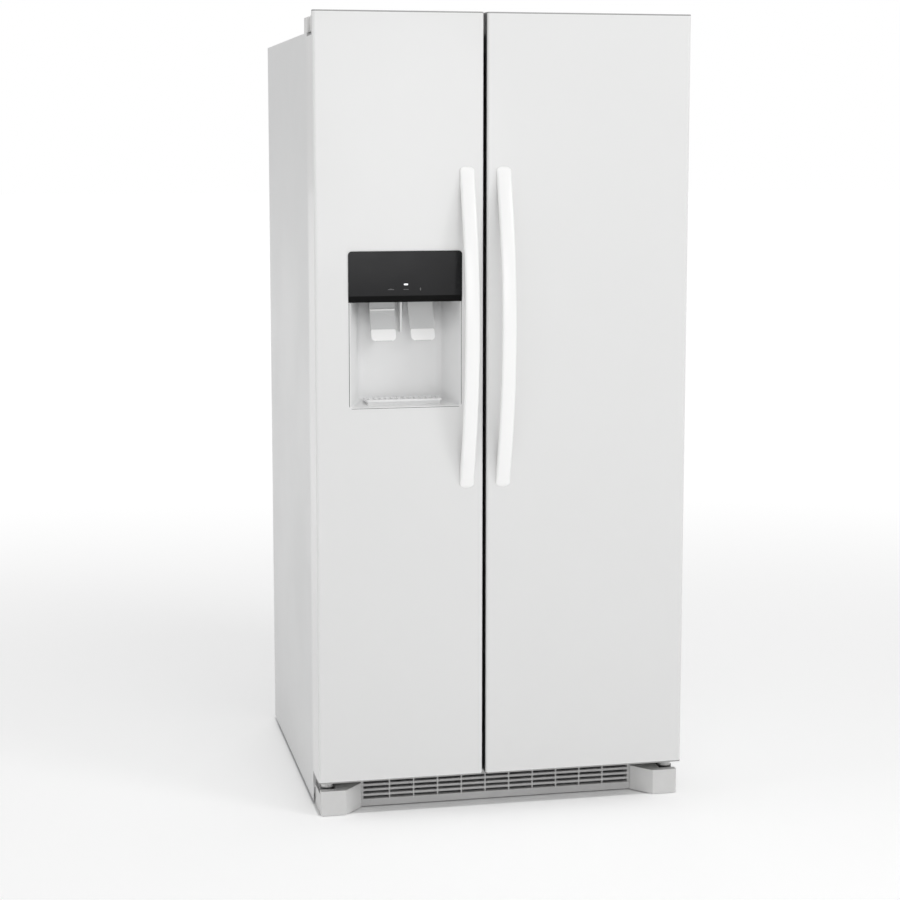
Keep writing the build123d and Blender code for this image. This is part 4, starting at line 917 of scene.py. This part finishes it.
def makeAuger(node, body):
    plan = augerPlan
    low, high = (np.array(c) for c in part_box(node))
    cx, cz = (low[0] + high[0]) / 2, (low[2] + high[2]) / 2
    angle = np.linspace(0, plan["turns"] * 2 * math.pi, int(plan["turns"] * plan["steps"]) + 1)
    y = np.linspace(low[1] + 0.014, high[1] - 0.014, len(angle))
    outward = np.stack([np.cos(angle), np.zeros_like(angle), np.sin(angle)], 1)
    middle, half = (plan["inner"] + plan["outer"]) / 2, (plan["outer"] - plan["inner"]) / 2
    path = np.stack([cx + middle * np.cos(angle), y, cz + middle * np.sin(angle)], 1)
    count = len(angle)
    flight = carried(path, outward, (0, 1, 0), np.full(count, half), np.full(count, plan["sheet"]),
                     np.full(count, plan["sheet"] * 0.9), 3)
    shaft = ringStack(edgeRings((cx, cz), (0.006, 0.006), 0.006, low[1], high[1], 0.001), "y")
    addPiece(node + "_screw", [flight, shaft], body, "coil_aluminium", (node,))


makeAuger("ice_auger", "ice_auger")


# Dispenser recess: a U of two walls and a floor, read at each depth, that slopes inwards,
# rounds into the back wall and closes on the back wall's upper middle.
recessPlan = {
    "mouth": (-0.3437, -0.1003, 0.9218), "rear": (-0.3136, -0.1304, 0.9298), "top": 1.1508,
    "front": -0.3805, "back": -0.3049, "corner": 0.008, "roundX": 0.016, "roundZ": 0.006,
    "roundY": 0.010, "rimWide": 0.0034, "rimProud": 0.0007, "steps": 7,
    "shadowLine": (
        ((-0.36, -0.40, 0.90), (-0.3457, -0.3785, 1.16), (0.16, 0.16, 0.16)),
        ((-0.0983, -0.40, 0.90), (-0.08, -0.3785, 1.16), (0.16, 0.16, 0.16)),
        ((-0.36, -0.40, 0.90), (-0.08, -0.3785, 0.9198), (0.22, 0.22, 0.22)),
    ),
}


def makeRecess():
    plan = recessPlan
    mouth, rear = np.array(plan["mouth"]), np.array(plan["rear"])
    front, back = plan["front"], plan["back"]
    wide, proud = plan["rimWide"], plan["rimProud"]
    rows = [
        (mouth[0] - wide, mouth[1] + wide, mouth[2] - wide, 0.008, front + 0.0003),
        (mouth[0] - wide, mouth[1] + wide, mouth[2] - wide, 0.008, front - proud * 0.5),
        (mouth[0] - wide * 0.8, mouth[1] + wide * 0.8, mouth[2] - wide * 0.8, 0.0075, front - proud),
        (mouth[0] - wide * 0.3, mouth[1] + wide * 0.3, mouth[2] - wide * 0.3, 0.006, front - proud),
        (mouth[0], mouth[1], mouth[2], 0.005, front + 0.0006),
    ]
    for depth in np.linspace(front + 0.004, back - plan["roundY"], 6):
        share = (depth - front) / (back - front)
        a, b, c = mouth + (rear - mouth) * share
        rows.append((a, b, c, 0.005 + share * 0.003, depth))
    for turn in np.linspace(0, math.pi / 2, 8)[1:]:
        depth = back - plan["roundY"] * (1 - math.sin(turn))
        share = (back - plan["roundY"] - front) / (back - front)
        a, b, c = mouth + (rear - mouth) * share
        inX, inZ = plan["roundX"] * (1 - math.cos(turn)), plan["roundZ"] * (1 - math.cos(turn))
        rows.append((a + inX, b - inX, c + inZ, 0.008, depth))
    a, b, c, r, depth = rows[-1]
    middle = (a + b) / 2
    for share in (0.6, 0.25, 0.0):
        rows.append((middle + (a - middle) * share, middle + (b - middle) * share,
                     plan["top"] + (c - plan["top"]) * share, r * share, depth))
    rows = np.array(rows)
    left, right, floor, r, depth = (rows[:, i:i + 1] for i in range(5))
    turn = np.linspace(0, math.pi / 2, plan["steps"])[None, :]
    walls = np.linspace(0, 1, 4)[None, :-1]
    x = np.concatenate([
        left + 0 * walls, left + r - r * np.cos(turn), right - r + r * np.sin(turn), right + 0 * walls
    ], 1)
    z = np.concatenate([
        plan["top"] + (floor + r - plan["top"]) * walls, floor + r - r * np.sin(turn),
        floor + r - r * np.cos(turn), floor + r + (plan["top"] - floor - r) * (walls + 1 / 3)
    ], 1)
    points = np.stack([x, np.broadcast_to(depth, x.shape), z], -1)
    count, across = x.shape
    quads = gridQuads(count, across, False).reshape(count - 1, across, 4)[:, :-1].reshape(-1, 4)
    surface = addPiece(
        "dispenser_recess_lining", [(points.reshape(-1, 3), quads)], "freezer_door", "dispenser_plastic",
        sharp=60.0, turn=False, look={**finishes["dispenser_plastic"], "patches": plan["shadowLine"]},
    )
    solid = surface.modifiers.new("wall", "SOLIDIFY")
    solid.thickness = 0.0003
    solid.offset = -1.0


makeRecess()


# Drip tray: a base, a rounded ring and bars across it.
trayPlan = {"corner": 0.010, "ring": 0.0065, "base": 0.003, "bars": 12, "pitch": 0.013, "bar": 0.0078}


def makeDripTray(node, body):
    plan = trayPlan
    low, high = (np.array(c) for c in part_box(node))
    cx, cy = (low[0] + high[0]) / 2, (low[1] + high[1]) / 2
    hx, hy = (high[0] - low[0]) / 2, (high[1] - low[1]) / 2
    base = edgeRings((cx, cy), (hx - 0.0008, hy - 0.0008), plan["corner"], low[2],
        low[2] + plan["base"], 0.0008)
    ring, r = plan["ring"], plan["corner"]
    profile = [(0.0, low[2] + 0.001), (0.0, high[2] - 0.002), (0.0006, high[2] - 0.0006), (0.002, high[2]),
               (ring - 0.0015, high[2]), (ring - 0.0004, high[2] - 0.0005), (ring, high[2] - 0.0018),
               (ring, low[2] + 0.001)]
    loops = [(cx, cy, hx - i, hy - i, r - i, z) for i, z in profile]
    parts = [ringStack(base), ringStack(loops, wrapRows=True)]
    for n in range(plan["bars"]):
        x = cx + (n - (plan["bars"] - 1) / 2) * plan["pitch"]
        path = [(x, cy - hy + 0.005, high[2] - 0.0022), (x, cy + hy - 0.005, high[2] - 0.0022)]
        half = np.full(2, plan["bar"] / 2)
        parts.append(carried(path, (1, 0, 0), (0, 0, 1), half, np.full(2, 0.0016), np.full(2, 0.0012), 4))
    addPiece(node + "_grid", parts, body, "dispenser_plastic", (node,))


makeDripTray("drip_tray", "drip_tray")


# Paddles: a thin dished leaf hanging from its axle, swept forwards as share to the power 1.6,
# with a thicker pale pad at its tip and a lip across the ice one.
paddlePlan = {
    "top": 1.1645, "drop": 0.1003, "lean": 0.030, "sheet": 0.0022, "dish": 0.0022, "corner": 0.009,
    "padFrom": 0.76, "lip": 0.33, "steps": 28,
    "ice_paddle": {"x": -0.265, "top": 0.0286, "tip": 0.0270, "shift": 0.0},
    "water_paddle": {"x": -0.179, "top": 0.0286, "tip": 0.0262, "shift": 0.002},
}


def leaf(share, plan, side):
    y = -0.3245 - plan["lean"] * share ** 1.6
    z = plan["top"] - plan["drop"] * share
    path = np.stack([np.full_like(share, side["x"]), y, z], 1)
    path[:, 0] += side["shift"] * share
    run = np.gradient(path, axis=0)
    run /= np.linalg.norm(run, axis=1, keepdims=True)
    normal = np.cross((1.0, 0.0, 0.0), run)
    return path, -normal * np.sign(normal[:, 1:2])


def makePaddle(node, body):
    plan = paddlePlan
    side = plan[node]
    share = np.linspace(0, 1, plan["steps"])
    path, normal = leaf(share, plan, side)
    reach = (1 - share) * plan["drop"]
    r = plan["corner"]
    half = side["top"] + (side["tip"] - side["top"]) * share
    half = half - (r - np.sqrt(np.maximum(r ** 2 - np.maximum(r - reach, 0) ** 2, 0)))
    count = len(share)
    path[:, 1] += 0.0009
    sheet = carried(path, (1, 0, 0), normal, half, np.full(count, plan["sheet"] / 2),
                    np.full(count, plan["sheet"] * 0.45), 4, dish=plan["dish"])
    axle = ringStack(edgeRings((-0.3245, 1.162), (0.0025, 0.0025), 0.0025, side["x"] - 0.030,
        side["x"] + 0.030, 0.0005), "x")
    addPiece(node + "_leaf", [sheet, axle], body, "paddle_plastic", (node,))
    share = np.linspace(plan["padFrom"], 0.995, 12)
    path, normal = leaf(share, plan, side)
    reach = np.minimum((1 - share) * plan["drop"] - 0.0002,
        (share - plan["padFrom"]) * plan["drop"] + 0.004)
    half = side["tip"] + 0.0006 - (r - np.sqrt(np.maximum(r ** 2 - np.maximum(r - reach, 0) ** 2, 0)))
    path[:, 1] += 0.0007
    pad = carried(path, (1, 0, 0), normal, half, np.full(12, 0.0021), np.full(12, 0.0018), 5,
        dish=plan["dish"])
    pieces = [pad]
    if node == "ice_paddle":
        path, normal = leaf(np.array([plan["lip"] - 0.018, plan["lip"], plan["lip"] + 0.018]), plan, side)
        path[:, 1] -= 0.0022
        pieces.append(carried(path, (1, 0, 0), normal, side["top"] - np.array([0.001, 0.0, 0.001]),
                              np.array([0.0008, 0.0016, 0.0008]), np.array([0.0006, 0.0012, 0.0006]), 4,
                              dish=plan["dish"]))
    addPiece(node + "_pad", pieces, body, "liner_plastic", look=finishes["handle_paint"])


makePaddle("ice_paddle", "ice_paddle")
makePaddle("water_paddle", "water_paddle")
print("dispenser made")


# Lit window and touch marks on the panel: low rounded studs, generic in shape.
markPlan = {
    "face": -0.3820, "proud": 0.0002,
    "window": ((-0.2210, 1.1895, 0.0046, 0.0016),),
    "marks": (
        (-0.2540, 1.1785, 0.0068, 0.0008), (-0.2206, 1.1785, 0.0060, 0.0008),
        (-0.1888, 1.1790, 0.0012, 0.0030),
        (-0.2545, 1.1800, 0.0030, 0.0005),
    ),
}


def studs(rows, plan):
    parts = []
    for x, z, halfX, halfZ in rows:
        rings = edgeRings((x, z), (halfX, halfZ), min(halfX, halfZ), plan["face"] + 0.0006,
            plan["face"] - plan["proud"], 0.00008, 2)
        parts.append(ringStack(rings, "y", 4))
    return parts


glow = finish(color=(0.95, 0.97, 1.0), shade=(0.90, 0.93, 0.97), edge=(1, 1, 1), rough=0.3,
    dust=0.0, glow=0.7)
faint = finish(color=(0.10, 0.10, 0.102), shade=(0.08, 0.08, 0.082), edge=(0.12, 0.12, 0.12),
    rough=0.4, dust=0.0)
addPiece("panel_window", studs(markPlan["window"], markPlan), "freezer_door", "lamp_plastic", look=glow)
addPiece("panel_marks", studs(markPlan["marks"], markPlan), "freezer_door", "panel_black", look=faint)
# A matt band along the panel's lower edge, following its slope.
bandPlan = {"left": -0.3478, "right": -0.0962, "low": 1.1510, "high": 1.1648, "slope": 0.0025,
    "proud": 0.00025}


def makeBand(plan):
    z = np.linspace(plan["low"], plan["high"], 6)
    lean = np.linspace(1, 0, 6)
    y = markPlan["face"] + plan["slope"] * lean - plan["proud"]
    path = np.stack([np.full(6, (plan["left"] + plan["right"]) / 2), y + 0.0002, z], 1)
    half = np.full(6, (plan["right"] - plan["left"]) / 2)
    strip = carried(path, (1, 0, 0), (0, -1, 0), half, np.full(6, 0.0002), np.full(6, 0.0001), 2)
    matt = finish(color=(0.004, 0.004, 0.004), shade=(0.006, 0.006, 0.006), edge=(0.01, 0.01,
        0.01), rough=0.6,
                  dust=0.0, specular=0.08, peel=600.0)
    addPiece("panel_band", [strip], "freezer_door", "panel_black", look=matt)


makeBand(bandPlan)
print("panel marks made")
